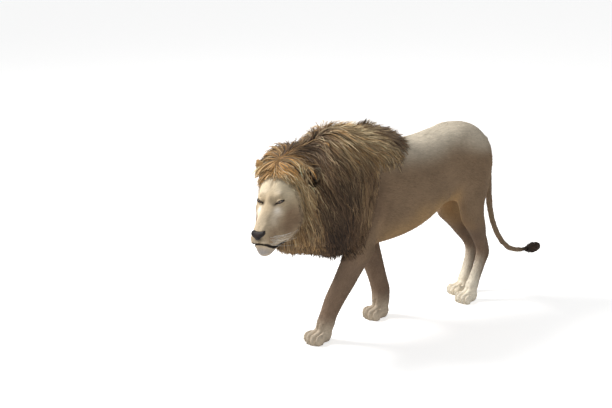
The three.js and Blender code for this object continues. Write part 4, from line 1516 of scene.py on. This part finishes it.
@dataclass
class Mane:
    """The mane: its bulk, its long locks, and the shorter hair at the face's edge."""

    head: HeadFrame
    lie: Lie
    widths: tuple[float, float] = (1.7, 5.0)
    ear_room: tuple[float, float] = (33 * MM, 22 * MM)
    hem: float = 34 * MM
    limits: tuple[tuple[int, float], ...] = ((0, 0.23), (2, 1.12))
    held: float = 0.7
    withers: Place = (0.0, -0.33, 1.06)

    def thickness(self, points: Array) -> Array:
        """How much more hair grows at each point: over the brow, and under the ears that part it."""
        local = self.head.inside(points)
        out = np.ones(len(points))
        out += 2.2 * ball(local, (-15, 300, 150), (65, 50, 60))
        out += 7.0 * ball(local, (-22, 346, 165), (30, 26, 70))
        for side in Side:
            below = centre_of(side.of("ear")) + np.array([0.03 * side.value, 0.03, -0.06])
            out += 2.5 * ball(points, below, 0.045)
        return out

    def regions(self, roots: Roots) -> dict[str, Array]:
        """Which roots belong to each of the mane's pieces."""
        y, z = self.head.inside(roots.places)[:, 1:].T
        x = roots.places[:, 0]
        cape = roots.places[:, 1] > -0.50
        head = (y < 360) & ~cape
        crest = (roots.normals[:, 2] > 0.5) & ~head & ~cape
        rest = ~(head | crest | cape)
        return {
            "mane_crown": head & (z > 60),
            "mane_ruff": head & (z <= 60),
            "mane_crest": crest,
            "mane_side_left": rest & (x > 0),
            "mane_side_right": rest & (x <= 0),
            "mane_cape": cape,
        }

    def build(self, skin: Ground, covered: Array) -> list[Piece]:
        """Builds the mane over the skin.

        Args:
            skin: The skin as a surface for hair.
            covered: Which of its points the mane hides.

        Returns:
            The mane's pieces, the bulk first.
        """
        rng = np.random.default_rng(SEED + 1)
        hair = LongHair("mane", self.head)
        bulk = hair.bulk()
        points, normals = surface_of(bulk.data)
        ways = self.lie.on_mane(points, normals)
        shades = hair.dyes(points, rng.random((len(points), 2)))
        # the bulk under the locks: the dyes at 60%, painted shade beneath the locks
        paint(bulk.data, Net(bulk.data).even(shades, 3) * 0.6)
        lengths = hair.lengths(points, normals)
        ground = Ground(bulk.data, points, normals, ways, shades, lengths[:, None])
        roots = ground.scatter(hair.density * hair.outer * self.thickness(points), rng)
        near = skin.points[:, 2] > 0.3
        open_skin = near & ~covered
        over_skin = self.lie.on_mane(skin.points[open_skin], skin.normals[open_skin])
        flow = Flow(
            np.concatenate([points[hair.outer], skin.points[open_skin]]),
            np.concatenate([normals[hair.outer], skin.normals[open_skin]]),
            np.concatenate([ways[hair.outer], over_skin]),
            np.concatenate([np.ones(hair.outer.sum()), np.full(open_skin.sum(), 0.5)]),
        )
        pieces = [bulk]
        for name, chosen in self.regions(roots).items():
            own = roots.only(chosen)
            stray, upright = self.stand(own, rng)
            lift = np.column_stack([rng.uniform(0.002, 0.014, len(own)), stray])
            own.extra = own.extra * (rng.uniform(0.6, 1.2, len(own)) * (1 - 0.6 * upright))[:, None]
            own.ways = unit(own.ways + rng.normal(0, 0.14, own.ways.shape))
            paths, ups = hair.grow(own, flow, lift)
            for axis, limit in self.limits:
                over = np.maximum(np.abs(paths[..., axis]) - limit, 0)
                paths[..., axis] -= self.held * over * np.sign(paths[..., axis])
            clear = self.clear_of_ears(paths)
            own, paths, ups = own.only(clear), paths[clear], ups[clear]
            luck = rng.random((len(own), 2))
            own.colours = hair.dyes(own.places, luck)
            pieces.append(hair.locks(name, own, paths, ups, hair.dyes(paths[:, -1], luck), rng, self.widths))
            log.info("%s: %d locks", name, len(own))
        pieces.append(self.hairline(hair, skin, covered, flow, rng))
        return pieces

    def stand(self, roots: Roots, rng: Chance) -> tuple[Array, Array]:
        """How locks stand off the mane.

        Args:
            roots: Their roots.
            rng: The seeded source of chance.

        Returns:
            How far each tip stands off, in metres, and how upright the lock is, most so on the crest and withers.
        """
        places, count = roots.places, len(roots)
        crest = smooth(0.2, 0.8, roots.normals[:, 2])
        tall = crest * (0.040 + 0.022 * bump(places[:, 1], -0.52, 0.08))
        stray = rng.gamma(1.2, 0.004, count) + tall * rng.random(count)
        tuft = ball(places, self.withers, (0.035, 0.03, 0.06))
        ridge = bump(places[:, 0], 0, 0.06) * bump(places[:, 1], -0.57, 0.09) * crest
        upright = np.maximum(tuft, ridge * (rng.random(count) < 0.55))
        stood = 0.025 + 0.035 * np.maximum(tuft, rng.random(count))
        return np.minimum(stray, 0.055) * (1 - upright) + stood * upright, upright

    def hairline(self, hair: LongHair, skin: Ground, covered: Array, flow: Flow, rng: Chance) -> Piece:
        """The shorter hair that grows from the face's edge and lies over the front of the mane."""
        local = self.head.inside(skin.points)
        gap = distances(skin.points, "mane", 0.04)
        band = (local[:, 1] > 150) & (gap < self.hem) & (gap > 0) & ~covered
        ways = self.lie.on_mane(skin.points, skin.normals)
        strip = Ground(skin.mesh, skin.points, skin.normals, ways, skin.colours, gap[:, None])
        roots = strip.scatter(48e3 * band, rng)
        share = np.clip(1 - roots.extra[:, 0] / self.hem, 0, 1)
        share = np.clip(share + rng.normal(0, 0.12, len(roots)), 0, 1)
        roots.extra = (0.018 + 0.085 * share * rng.uniform(0.3, 1.5, len(roots)))[:, None]
        luck = rng.random((len(roots), 2))
        face = roots.colours
        roots.colours = mix(face, hair.dyes(roots.places, luck), smooth(0.35, 0.9, share))
        lift = rng.uniform((0.001, 0.0), (0.004, 0.005), (len(roots), 2))
        paths, ups = hair.grow(roots, flow, lift)
        clear = self.clear_of_ears(paths)
        ends = mix(face, hair.dyes(paths[:, -1], luck), smooth(0.15, 0.6, share))[clear]
        roots, paths = roots.only(clear), paths[clear]
        log.info("mane_hairline: %d locks", len(roots))
        return hair.locks("mane_hairline", roots, paths, ups[clear], ends, rng, (1.4, 3.2))

    def clear_of_ears(self, paths: Array) -> Array:
        """Which hairs keep clear of the openings of the ears."""
        out = np.ones(len(paths), bool)
        for side, room in zip(Side, self.ear_room):
            middle = centre_of(side.of("ear")) + self.head.way(np.array([0.35 * side.value, -0.9, 0.1])) * 0.012
            out &= np.linalg.norm(paths[:, 2:] - middle, axis=-1).min(1) > room
        return out


def distances(points: Array, node: str, reach: float) -> Array:
    """How far each point is from a node's solid, and 1 where that is past a reach."""
    tree, _ = tree_of((node,))
    found = [tree.find_nearest(place, reach)[3] for place in points.tolist()]
    return np.array([1.0 if gap is None else gap for gap in found])


def hidden_by(points: Array, normals: Array, nodes: tuple[str, ...]) -> Array:
    """Which points of the skin lie under other solids."""
    tree, _ = tree_of(nodes)
    rays = zip(points.tolist(), normals.tolist())
    return np.array([tree.ray_cast(place, normal, 22 * MM)[0] is not None for place, normal in rays])


@dataclass
class TailTuft:
    """The black tuft at the tail's end."""

    head: HeadFrame

    def build(self) -> list[Piece]:
        """A small bulk with locks that run out past the tail's end."""
        rng = np.random.default_rng(SEED + 2)
        hair = LongHair(
            "tail_tuft", self.head, voxel=5 * MM, inset=4 * MM, passes=8, density=30e3, clumps=60, droop=0.0
        )
        bulk = hair.bulk()
        points, normals = surface_of(bulk.data)
        run = unit(centre_of("tail_tuft") - centre_of("tail_tip"))
        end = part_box("tail_tuft")[1].y
        ways = tangent(np.tile(run, (len(points), 1)), normals)
        dark = np.tile(tint(*ManeTone.BLACK.value), (len(points), 1))
        # the bulk under the tuft's locks: black at 60%, painted shade beneath them
        paint(bulk.data, dark * 0.6)
        length = np.clip(end - points[:, 1], 0.015, 0.085)
        ground = Ground(bulk.data, points, normals, ways, dark, length[:, None])
        roots = ground.scatter(np.full(len(points), hair.density), rng)
        tones = np.array([tint(*tone.value) for tone in (ManeTone.BLACK, ManeTone.BLACK, ManeTone.UMBER)])
        roots.colours = tones[rng.integers(0, 3, len(roots))]
        flow = Flow(points, normals, ways, np.ones(len(points)))
        lift = rng.uniform((0.003, 0.0), (0.013, 0.008), (len(roots), 2))
        paths, ups = hair.grow(roots, flow, lift)
        log.info("tail_tuft_locks: %d locks", len(roots))
        return [bulk, hair.locks("tail_tuft_locks", roots, paths, ups, roots.colours, rng, (2.0, 4.2))]


# ---- Eyes, nose and whiskers ----
@dataclass
class Eyeball:
    """A round-pupilled amber eye with a clear wet front."""

    head: HeadFrame
    shape: EyeShape
    side: Side
    pupil: float = 0.23
    iris: float = 0.56
    bulge: float = 1.1
    rings: int = 44
    spokes: int = 56

    def build(self) -> Piece:
        """Turns the ball's rings round its outward axis and colours them."""
        centre, axes = self.shape.centre(self.head, self.side), self.shape.axes(self.side)
        gaze = unit(axes[2] + np.array([-0.10 * self.side.value, -0.30, -0.12]))
        over = unit(np.cross(gaze, [0, 0, 1]))
        frame_of = np.array([over, np.cross(gaze, over), gaze])
        polar = np.linspace(0.02, np.pi - 0.02, self.rings)
        turn = np.linspace(0, 2 * np.pi, self.spokes, endpoint=False)
        p, t = np.meshgrid(polar, turn, indexing="ij")
        radius = self.shape.radius + self.bulge * np.exp(-((p / 0.5) ** 4))
        turned = np.stack([np.sin(p) * np.cos(t), np.sin(p) * np.sin(t), np.cos(p)], -1) * radius[..., None]
        points = np.concatenate([turned.reshape(-1, 3), [[0, 0, radius[0, 0]], [0, 0, -radius[-1, 0]]]])
        faces = []
        for i in range(self.rings - 1):
            for j in range(self.spokes):
                a, b = i * self.spokes + j, i * self.spokes + (j + 1) % self.spokes
                faces += [[a, a + self.spokes, b + self.spokes], [a, b + self.spokes, b]]
        front, back = len(points) - 2, len(points) - 1
        last = (self.rings - 1) * self.spokes
        for j in range(self.spokes):
            after = (j + 1) % self.spokes
            faces += [[front, j, after], [back, last + after, last + j]]
        mesh = mesh_of(self.side.of("eyeball"), self.head.place(centre + points @ frame_of), np.array(faces))
        paint(mesh, self.colours(np.concatenate([p.ravel(), [0, np.pi]]), np.concatenate([t.ravel(), [0, 0]])))
        soften(mesh)
        piece = object_of(mesh.name, mesh)
        unwrap(piece)
        return piece

    def colours(self, polar: Array, turn: Array) -> Array:
        """Pupil, amber iris with spokes, dark rim and brown white of the eye."""
        # the amber and gold of the iris are darkened, partly as painted shade under the lids
        amber, gold, rim, white = tint(104, 66, 26), tint(136, 94, 42), tint(20, 13, 9), tint(50, 38, 32)
        out = np.tile(amber, (len(polar), 1))
        spokes = 0.5 + 0.5 * np.sin(turn * 23) * np.sin(turn * 7 + 1)
        out = mix(out, gold, spokes * bump(polar, 0.36, 0.12))
        out = mix(out, rim, smooth(self.iris - 0.10, self.iris, polar))
        out = mix(out, white, smooth(self.iris + 0.04, self.iris + 0.22, polar))
        return mix(out, tint(8, 6, 5), 1 - smooth(self.pupil - 0.03, self.pupil + 0.03, polar))


@dataclass
class NoseLeather:
    """The bare dark pad of the nose, with comma-shaped nostrils."""

    head: HeadFrame
    voxel: float = 1.7 * MM

    def build(self) -> Piece:
        """Rounds the nose's solid and presses the nostrils in."""
        piece = wrapped("nose_leather", ("nose",), self.voxel)
        mesh = piece.data
        points = Net(mesh).even(places_of(mesh), 14, 0.5)
        local = self.head.inside(points)
        narrow = np.interp(local[:, 2], (-31, -15, 2, 10), (0.75, 0.95, 0.95, 0.98))
        local = local * np.column_stack([narrow, np.ones_like(narrow), np.ones_like(narrow)])
        front = (local[:, 1] < 8) * bump(local[:, 2], -9, 11) * bump(local[:, 0], 0, 22)
        local[:, 1] += 5.0 * smooth(0, 12, local[:, 2]) - 6.0 * front
        points = self.head.place(local)
        set_places(mesh, points)
        normals = normals_of(mesh)
        x, y, z = np.abs(local[:, 0]), local[:, 1], local[:, 2]
        flat = np.column_stack([x, z])
        hole = ball(flat, (9.5, -11), (4.4, 3.6)) * (y < 8)
        slit = ball(flat, (16, -6.5), (5.5, 2.0))
        cleft = bump(x, 0, 1.8) * smooth(-6, -12, z) * (y < 6)
        push = -7.5 * hole - 3.0 * slit - 1.8 * cleft + 1.2 * bump(x, 8, 5) * bump(z, -8, 6)
        set_places(mesh, points + normals * (push * MM)[:, None])
        base, rosy, deep = tint(30, 24, 23), tint(74, 58, 52), tint(10, 7, 7)
        colour = np.tile(base, (len(points), 1))
        colour = mix(colour, rosy, 0.35 * bump(z, 0, 7) * bump(x, 0, 12))
        # deep: painted shade inside the nostrils and their slits
        colour = mix(colour, deep, np.clip(hole * 1.6 + slit, 0, 1))
        paint(mesh, colour)
        soften(mesh)
        unwrap(piece)
        return piece


@dataclass
class Whiskers:
    """Long white whiskers from the pads of the upper lip, made by a tree of geometry nodes."""

    head: HeadFrame
    length: float = 0.125
    root_radius: float = 0.0007
    bend: float = 0.24

    def tree(self, finish: Material) -> NodeTree:
        """The tree that sets a curved, tapered hair on each root."""
        graph = Graph(bpy.data.node_groups.new("whisker_tree", "GeometryNodeTree"))
        graph.face("INPUT", "Geometry", Roots=None)
        graph.face("INPUT", "Float", Length=self.length, Root_Radius=self.root_radius, Bend=self.bend)
        graph.face("OUTPUT", "Geometry", Whiskers=None)
        source = graph.add("NodeGroupInput").outputs
        end = graph.add("ShaderNodeCombineXYZ", {"Y": source["Bend"], "Z": 0.95}).outputs[0]
        bow = graph.add(
            "GeometryNodeCurveQuadraticBezier",
            {"Resolution": 7, "Start": (0, 0, 0), "Middle": (0, 0, 0.5), "End": end},
        )
        part = graph.add("GeometryNodeSplineParameter").outputs["Factor"]
        taper = graph.add("ShaderNodeMapRange", {"Value": part, "To Min": 1.0, "To Max": 0.08}).outputs[0]
        width = graph.add("GeometryNodeSetCurveRadius", {"Curve": bow.outputs[0], "Radius": taper})
        thin = graph.sum("DIVIDE", source["Root Radius"], source["Length"])
        ring = graph.add("GeometryNodeCurvePrimitiveCircle", {"Resolution": 5, "Radius": thin})
        hair = graph.add(
            "GeometryNodeCurveToMesh",
            {"Curve": width.outputs[0], "Profile Curve": ring.outputs[0], "Fill Caps": True},
        )
        if "Scale" in hair.inputs:
            graph.fill(hair, {"Scale": taper})
        turn = graph.add("GeometryNodeInputNamedAttribute", {"Name": "turn"}, data_type="FLOAT_VECTOR")
        size = graph.add("GeometryNodeInputNamedAttribute", {"Name": "size"}, data_type="FLOAT")
        place = graph.add(
            "GeometryNodeInstanceOnPoints",
            {
                "Points": source["Roots"],
                "Instance": hair.outputs[0],
                "Rotation": turn.outputs["Attribute"],
                "Scale": graph.sum("MULTIPLY", size.outputs["Attribute"], source["Length"]),
            },
        )
        solid = graph.add("GeometryNodeRealizeInstances", {0: place.outputs[0]})
        dress = graph.add("GeometryNodeSetMaterial", {"Geometry": solid.outputs[0], "Material": finish})
        graph.add("NodeGroupOutput", {0: dress.outputs[0]})
        return graph.tree

    def build(self, skin: Ground, finish: Material) -> Piece:
        """Sets the whiskers on the pads of both sides.

        Args:
            skin: The skin as a surface for hair.
            finish: The whiskers' finish.

        Returns:
            The whiskers as one piece.
        """
        rng = np.random.default_rng(SEED + 3)
        tree = BVHTree.FromPolygons(skin.points.tolist(), triangles_of(skin.mesh)[0].tolist())
        places, turns, sizes = [], [], []
        for side in Side:
            out = self.head.way(np.array([side.value, 0.0, 0.0]))
            for y, z in whisker_places():
                start = self.head.place(np.array([side.value * 120.0, y, z]))
                hit = tree.ray_cast(start.tolist(), (-out).tolist(), 0.3)
                if hit[0] is None or rng.random() < 0.25:
                    continue
                way = self.head.way(np.array([side.value * 0.95, 0.18 + 0.012 * y, -0.25]) + rng.normal(0, 0.1, 3))
                places.append(hit[0])
                turns.append(Vector(way).to_track_quat("Z", "Y").to_euler())
                sizes.append(rng.uniform(0.55, 1.1))
        mesh = bpy.data.meshes.new("whisker_roots")
        mesh.from_pydata(places, [], [])
        turn = mesh.attributes.new("turn", "FLOAT_VECTOR", "POINT")
        turn.data.foreach_set("vector", np.array(turns, np.float32).ravel())
        size = mesh.attributes.new("size", "FLOAT", "POINT")
        size.data.foreach_set("value", np.array(sizes, np.float32))
        holder = object_of("whisker_roots", mesh)
        modifier = holder.modifiers.new("whiskers", "NODES")
        modifier.node_group = self.tree(finish)
        sockets = {s.name: s.identifier for s in modifier.node_group.interface.items_tree if s.in_out == "INPUT"}
        for name, value in (("Length", self.length), ("Root Radius", self.root_radius), ("Bend", self.bend)):
            modifier[sockets[name]] = value
        ready = holder.evaluated_get(bpy.context.evaluated_depsgraph_get())
        made = bpy.data.meshes.new_from_object(ready)
        bpy.data.objects.remove(holder)
        made.name = "whiskers"
        soften(made)
        return object_of("whiskers", made)


# ---- Finishes ----
def fleck_group() -> NodeTree:
    """A shader group that breaks a colour up into fine hair-like flecks and gives a height for bump."""
    graph = Graph(bpy.data.node_groups.new("hair_flecks", "ShaderNodeTree"))
    graph.face("INPUT", "Color", Colour=None)
    graph.face("INPUT", "Float", Scale=220.0, Contrast=0.2, Patches=0.1)
    graph.face("INPUT", "Vector", Stretch=(1.0, 0.16, 0.5))
    graph.face("OUTPUT", "Color", Colour=None)
    graph.face("OUTPUT", "Float", Height=None)
    source = graph.add("NodeGroupInput").outputs
    where = graph.add("ShaderNodeTexCoord").outputs["Object"]
    drawn = graph.add("ShaderNodeVectorMath", {0: where, 1: source["Stretch"]}, operation="MULTIPLY").outputs[0]
    fine = graph.add("ShaderNodeTexNoise", {"Vector": drawn, "Scale": source["Scale"], "Detail": 3.0}).outputs["Fac"]
    broad = graph.add("ShaderNodeTexNoise", {"Vector": where, "Scale": 9.0, "Detail": 3.0}).outputs["Fac"]
    flecks = graph.sum("MULTIPLY", graph.sum("SUBTRACT", fine, 0.5), source["Contrast"])
    patches = graph.sum("MULTIPLY", graph.sum("SUBTRACT", broad, 0.5), source["Patches"])
    level = graph.sum("ADD", graph.sum("ADD", flecks, patches), 1.0)
    shade = graph.add("ShaderNodeVectorMath", {0: source["Colour"], "Scale": level}, operation="SCALE")
    graph.add("NodeGroupOutput", {"Colour": shade.outputs[0], "Height": fine})
    return graph.tree


@dataclass(frozen=True)
class Finish:
    """A surface whose colour is painted point by point and broken up by fine flecks."""

    name: str
    slot: Slot
    roughness: float
    contrast: float = 0.3
    patches: float = 0.25
    scale: float = 220.0
    stretch: Place = (1.0, 0.16, 0.5)
    bump: float = 0.25
    reach: float = 0.001
    coat: float = 0.0
    specular: float = 0.35

    def material(self, flecks: NodeTree) -> Material:
        """The finish as a material."""
        made, graph, surface = plain_material(self.name)
        painted = graph.add("ShaderNodeAttribute", attribute_name="markings").outputs["Color"]
        inputs = {"Colour": painted, "Scale": self.scale, "Contrast": self.contrast}
        inputs |= {"Patches": self.patches, "Stretch": self.stretch}
        broken = graph.add("ShaderNodeGroup", inputs, node_tree=flecks).outputs
        looks = {"Base Color": broken["Colour"], "Roughness": self.roughness, "Specular IOR Level": self.specular}
        looks |= {"Coat Weight": self.coat, "Coat Roughness": 0.06}
        if self.bump:
            height = {"Strength": self.bump, "Distance": self.reach, "Height": broken["Height"]}
            looks["Normal"] = graph.add("ShaderNodeBump", height).outputs["Normal"]
        graph.fill(surface, looks)
        return made


EVEN = (1.0, 1.0, 1.0)
SKIN_FINISH = Finish("short_fur_skin", Slot.COAT, 0.85, 0.6, 0.5, 260.0, bump=0.5, reach=0.0015, specular=0.2)
COAT_FINISH = Finish("short_fur_tufts", Slot.COAT, 0.85, 0.3, 0.5, 160.0, bump=0.0, specular=0.15)
MANE_FINISH = Finish("mane_locks", Slot.MANE, 0.7, 0.6, 0.2, 420.0, (1.0, 1.0, 0.07), bump=0.0, specular=0.2)
BULK_FINISH = Finish("mane_depth", Slot.MANE, 0.9, 0.8, 0.3, 90.0, (1.0, 1.0, 0.14), 0.6, 0.004, specular=0.1)
TUFT_FINISH = Finish("tail_locks", Slot.TUFT, 0.7, 0.3, 0.2, 120.0, bump=0.0, specular=0.2)
NOSE_FINISH = Finish("nose_skin", Slot.NOSE, 0.5, 0.35, 0.2, 700.0, EVEN, 0.4, 0.0006, specular=0.2)
EYE_FINISH = Finish("eye_wet", Slot.EYE, 0.12, 0.1, 0.1, 400.0, EVEN, bump=0.0, coat=1.0, specular=0.6)


def whisker_finish() -> Material:
    """Stiff near-white hair."""
    made, graph, surface = plain_material("whisker_hair")
    where = graph.add("ShaderNodeTexCoord").outputs["Object"]
    tone = graph.add("ShaderNodeTexNoise", {"Vector": where, "Scale": 60.0}).outputs["Fac"]
    ramp = graph.add("ShaderNodeValToRGB", {0: tone})
    ramp.color_ramp.elements[0].color = (0.62, 0.57, 0.5, 1)
    ramp.color_ramp.elements[1].color = (0.86, 0.83, 0.78, 1)
    graph.fill(surface, {"Base Color": ramp.outputs[0], "Roughness": 0.4})
    return made


# ---- The studio ----
def seen_plainly(graph: Graph) -> bpy.types.NodeSocket:
    """A value of 1 for rays from the camera, a gloss or glass, and 0 for the light that falls on the lion."""
    rays = graph.add("ShaderNodeLightPath").outputs
    looked = graph.sum("MAXIMUM", rays["Is Camera Ray"], rays["Is Glossy Ray"])
    return graph.sum("MAXIMUM", looked, rays["Is Transmission Ray"])


@dataclass
class Studio:
    """A pale floor and backdrop, soft lamps and the camera."""

    target: Place = (-0.379, -0.378, 0.600)
    camera: Place = (4.125, -4.025, 2.153)
    lens: float = 66.35
    key: float = 500.0
    fill: float = 40.0
    sky: float = 0.42
    lift: float = 0.58
    floor_reach: float = 60.0
    lit: Place = (0.0, -0.2, 0.6)

    def build(self) -> None:
        """Sets up the floor, the lamps, the world and the camera."""
        self.floor()
        self.lamp("key_lamp", (-3.4, -2.9, 5.2), 2.2, self.key)
        self.lamp("fill_lamp", (5.0, -1.5, 3.2), 4.0, self.fill)
        self.world()
        data = bpy.data.cameras.new("camera")
        data.lens, data.sensor_width, data.clip_end = self.lens, 36.0, 200.0
        bpy.context.scene.camera = self.aimed(data, self.camera, self.target)
        bpy.context.scene.view_settings.view_transform = "Standard"

    @staticmethod
    def aimed(data: bpy.types.ID, place: Place, target: Place) -> Piece:
        """Links a lamp or the camera in at a place, turned towards a target."""
        made = object_of(data.name, data)
        made.location = place
        made.rotation_euler = (Vector(target) - Vector(place)).to_track_quat("-Z", "Y").to_euler()
        return made

    def lamp(self, name: str, place: Place, size: float, power: float) -> None:
        """A large soft square lamp aimed at the lion."""
        data = bpy.data.lights.new(name, "AREA")
        data.size, data.energy = size, power
        self.aimed(data, place, self.lit)

    def floor(self) -> None:
        """A wide pale floor that shows near white to the camera and keeps the shadow."""
        corners = np.array([[-1, -1, 0], [1, -1, 0], [1, 1, 0], [-1, 1, 0]]) * self.floor_reach
        made = object_of("floor", mesh_of("floor", corners, np.array([[0, 1, 2], [0, 2, 3]])))
        finish, graph, surface = plain_material("pale_floor")
        pale = {"Base Color": (0.86, 0.84, 0.81, 1), "Roughness": 0.9, "Specular IOR Level": 0.1}
        graph.fill(surface, pale)
        strength = graph.sum("MULTIPLY", seen_plainly(graph), self.lift)
        glow = graph.add("ShaderNodeEmission", {"Strength": strength})
        total = graph.add("ShaderNodeAddShader", {0: surface.outputs[0], 1: glow.outputs[0]})
        graph.fill(finish.node_tree.nodes["Material Output"], {"Surface": total.outputs[0]})
        made.data.materials.append(finish)

    def world(self) -> None:
        """An even pale sky, plain white where the camera or a gloss sees it."""
        world = bpy.data.worlds.new("studio_sky")
        bpy.context.scene.world = world
        world.use_nodes = True
        world.node_tree.nodes.clear()
        graph = Graph(world.node_tree)
        soft = graph.add("ShaderNodeBackground", {"Color": (0.93, 0.96, 1.0, 1), "Strength": self.sky})
        plain = graph.add("ShaderNodeBackground", {"Color": (0.93, 0.92, 0.90, 1)})
        blend = graph.add(
            "ShaderNodeMixShader", {0: seen_plainly(graph), 1: soft.outputs[0], 2: plain.outputs[0]}
        )
        graph.add("ShaderNodeOutputWorld", {0: blend.outputs[0]})


# ---- The lion ----
class Lion:
    """The whole lion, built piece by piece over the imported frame."""

    def __init__(self) -> None:
        """Sets the head's frame and the finishes."""
        self.head = HeadFrame()
        self.mouth, self.eye = Mouth(), EyeShape()
        self.lie = Lie(self.head)
        self.flecks = fleck_group()
        self.finishes: dict[str, Material] = {}

    def dress(self, piece: Piece, finish: Finish, *nodes: str) -> None:
        """Gives a piece its finish, lets it ride, and lets it stand for nodes."""
        if finish.name not in self.finishes:
            self.finishes[finish.name] = finish.material(self.flecks)
        piece.data.materials.clear()
        piece.data.materials.append(self.finishes[finish.name])
        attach(piece, ROOT)
        if nodes:
            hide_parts(*nodes)
        log.info("%s: %d faces", piece.name, len(piece.data.polygons))

    def build(self) -> None:
        """Builds every piece."""
        piece = Skin(self.head, self.mouth, self.eye).build()
        unwrap(piece)
        points, normals = surface_of(piece.data)
        nodes, _ = nearest_nodes(points, FLESH + FILL + EARS)
        nodes = np.where(np.isin(nodes, FILL), "head", nodes)
        parts = parts_of(nodes)
        net = Net(piece.data)
        colours = Markings(self.head, self.mouth, self.eye).colours(points, normals, nodes)
        colours = net.even(colours, 6, 0.5 * (parts != Part.HEAD))
        paint(piece.data, colours)
        ways = self.lie.on_skin(points, normals, nodes, net)
        sizes = np.column_stack([sizes_of(parts, "length"), sizes_of(parts, "width")])
        ground = Ground(piece.data, points, normals, ways, colours, net.even(sizes, 6))
        covered = hidden_by(points, normals, ("mane",))
        self.dress(piece, SKIN_FINISH, *FLESH, *EARS)
        for tufts in ShortCoat(self.head).build(ground, parts, covered):
            self.dress(tufts, COAT_FINISH)
        bulk, *locks = Mane(self.head, self.lie).build(ground, covered)
        self.dress(bulk, BULK_FINISH, "mane")
        for lock in locks:
            self.dress(lock, MANE_FINISH)
        tip, tuft = TailTuft(self.head).build()
        self.dress(tip, TUFT_FINISH, "tail_tuft")
        self.dress(tuft, TUFT_FINISH)
        for side in Side:
            self.dress(Eyeball(self.head, self.eye, side).build(), EYE_FINISH, side.of("eye"))
        self.dress(NoseLeather(self.head).build(), NOSE_FINISH, "nose")
        whiskers = Whiskers(self.head).build(ground, whisker_finish())
        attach(whiskers, ROOT)


def main() -> None:
    """Builds the lion and the studio."""
    logging.basicConfig(level=logging.INFO)
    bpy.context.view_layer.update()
    Studio().build()
    Lion().build()


if __name__ == "__main__":
    main()
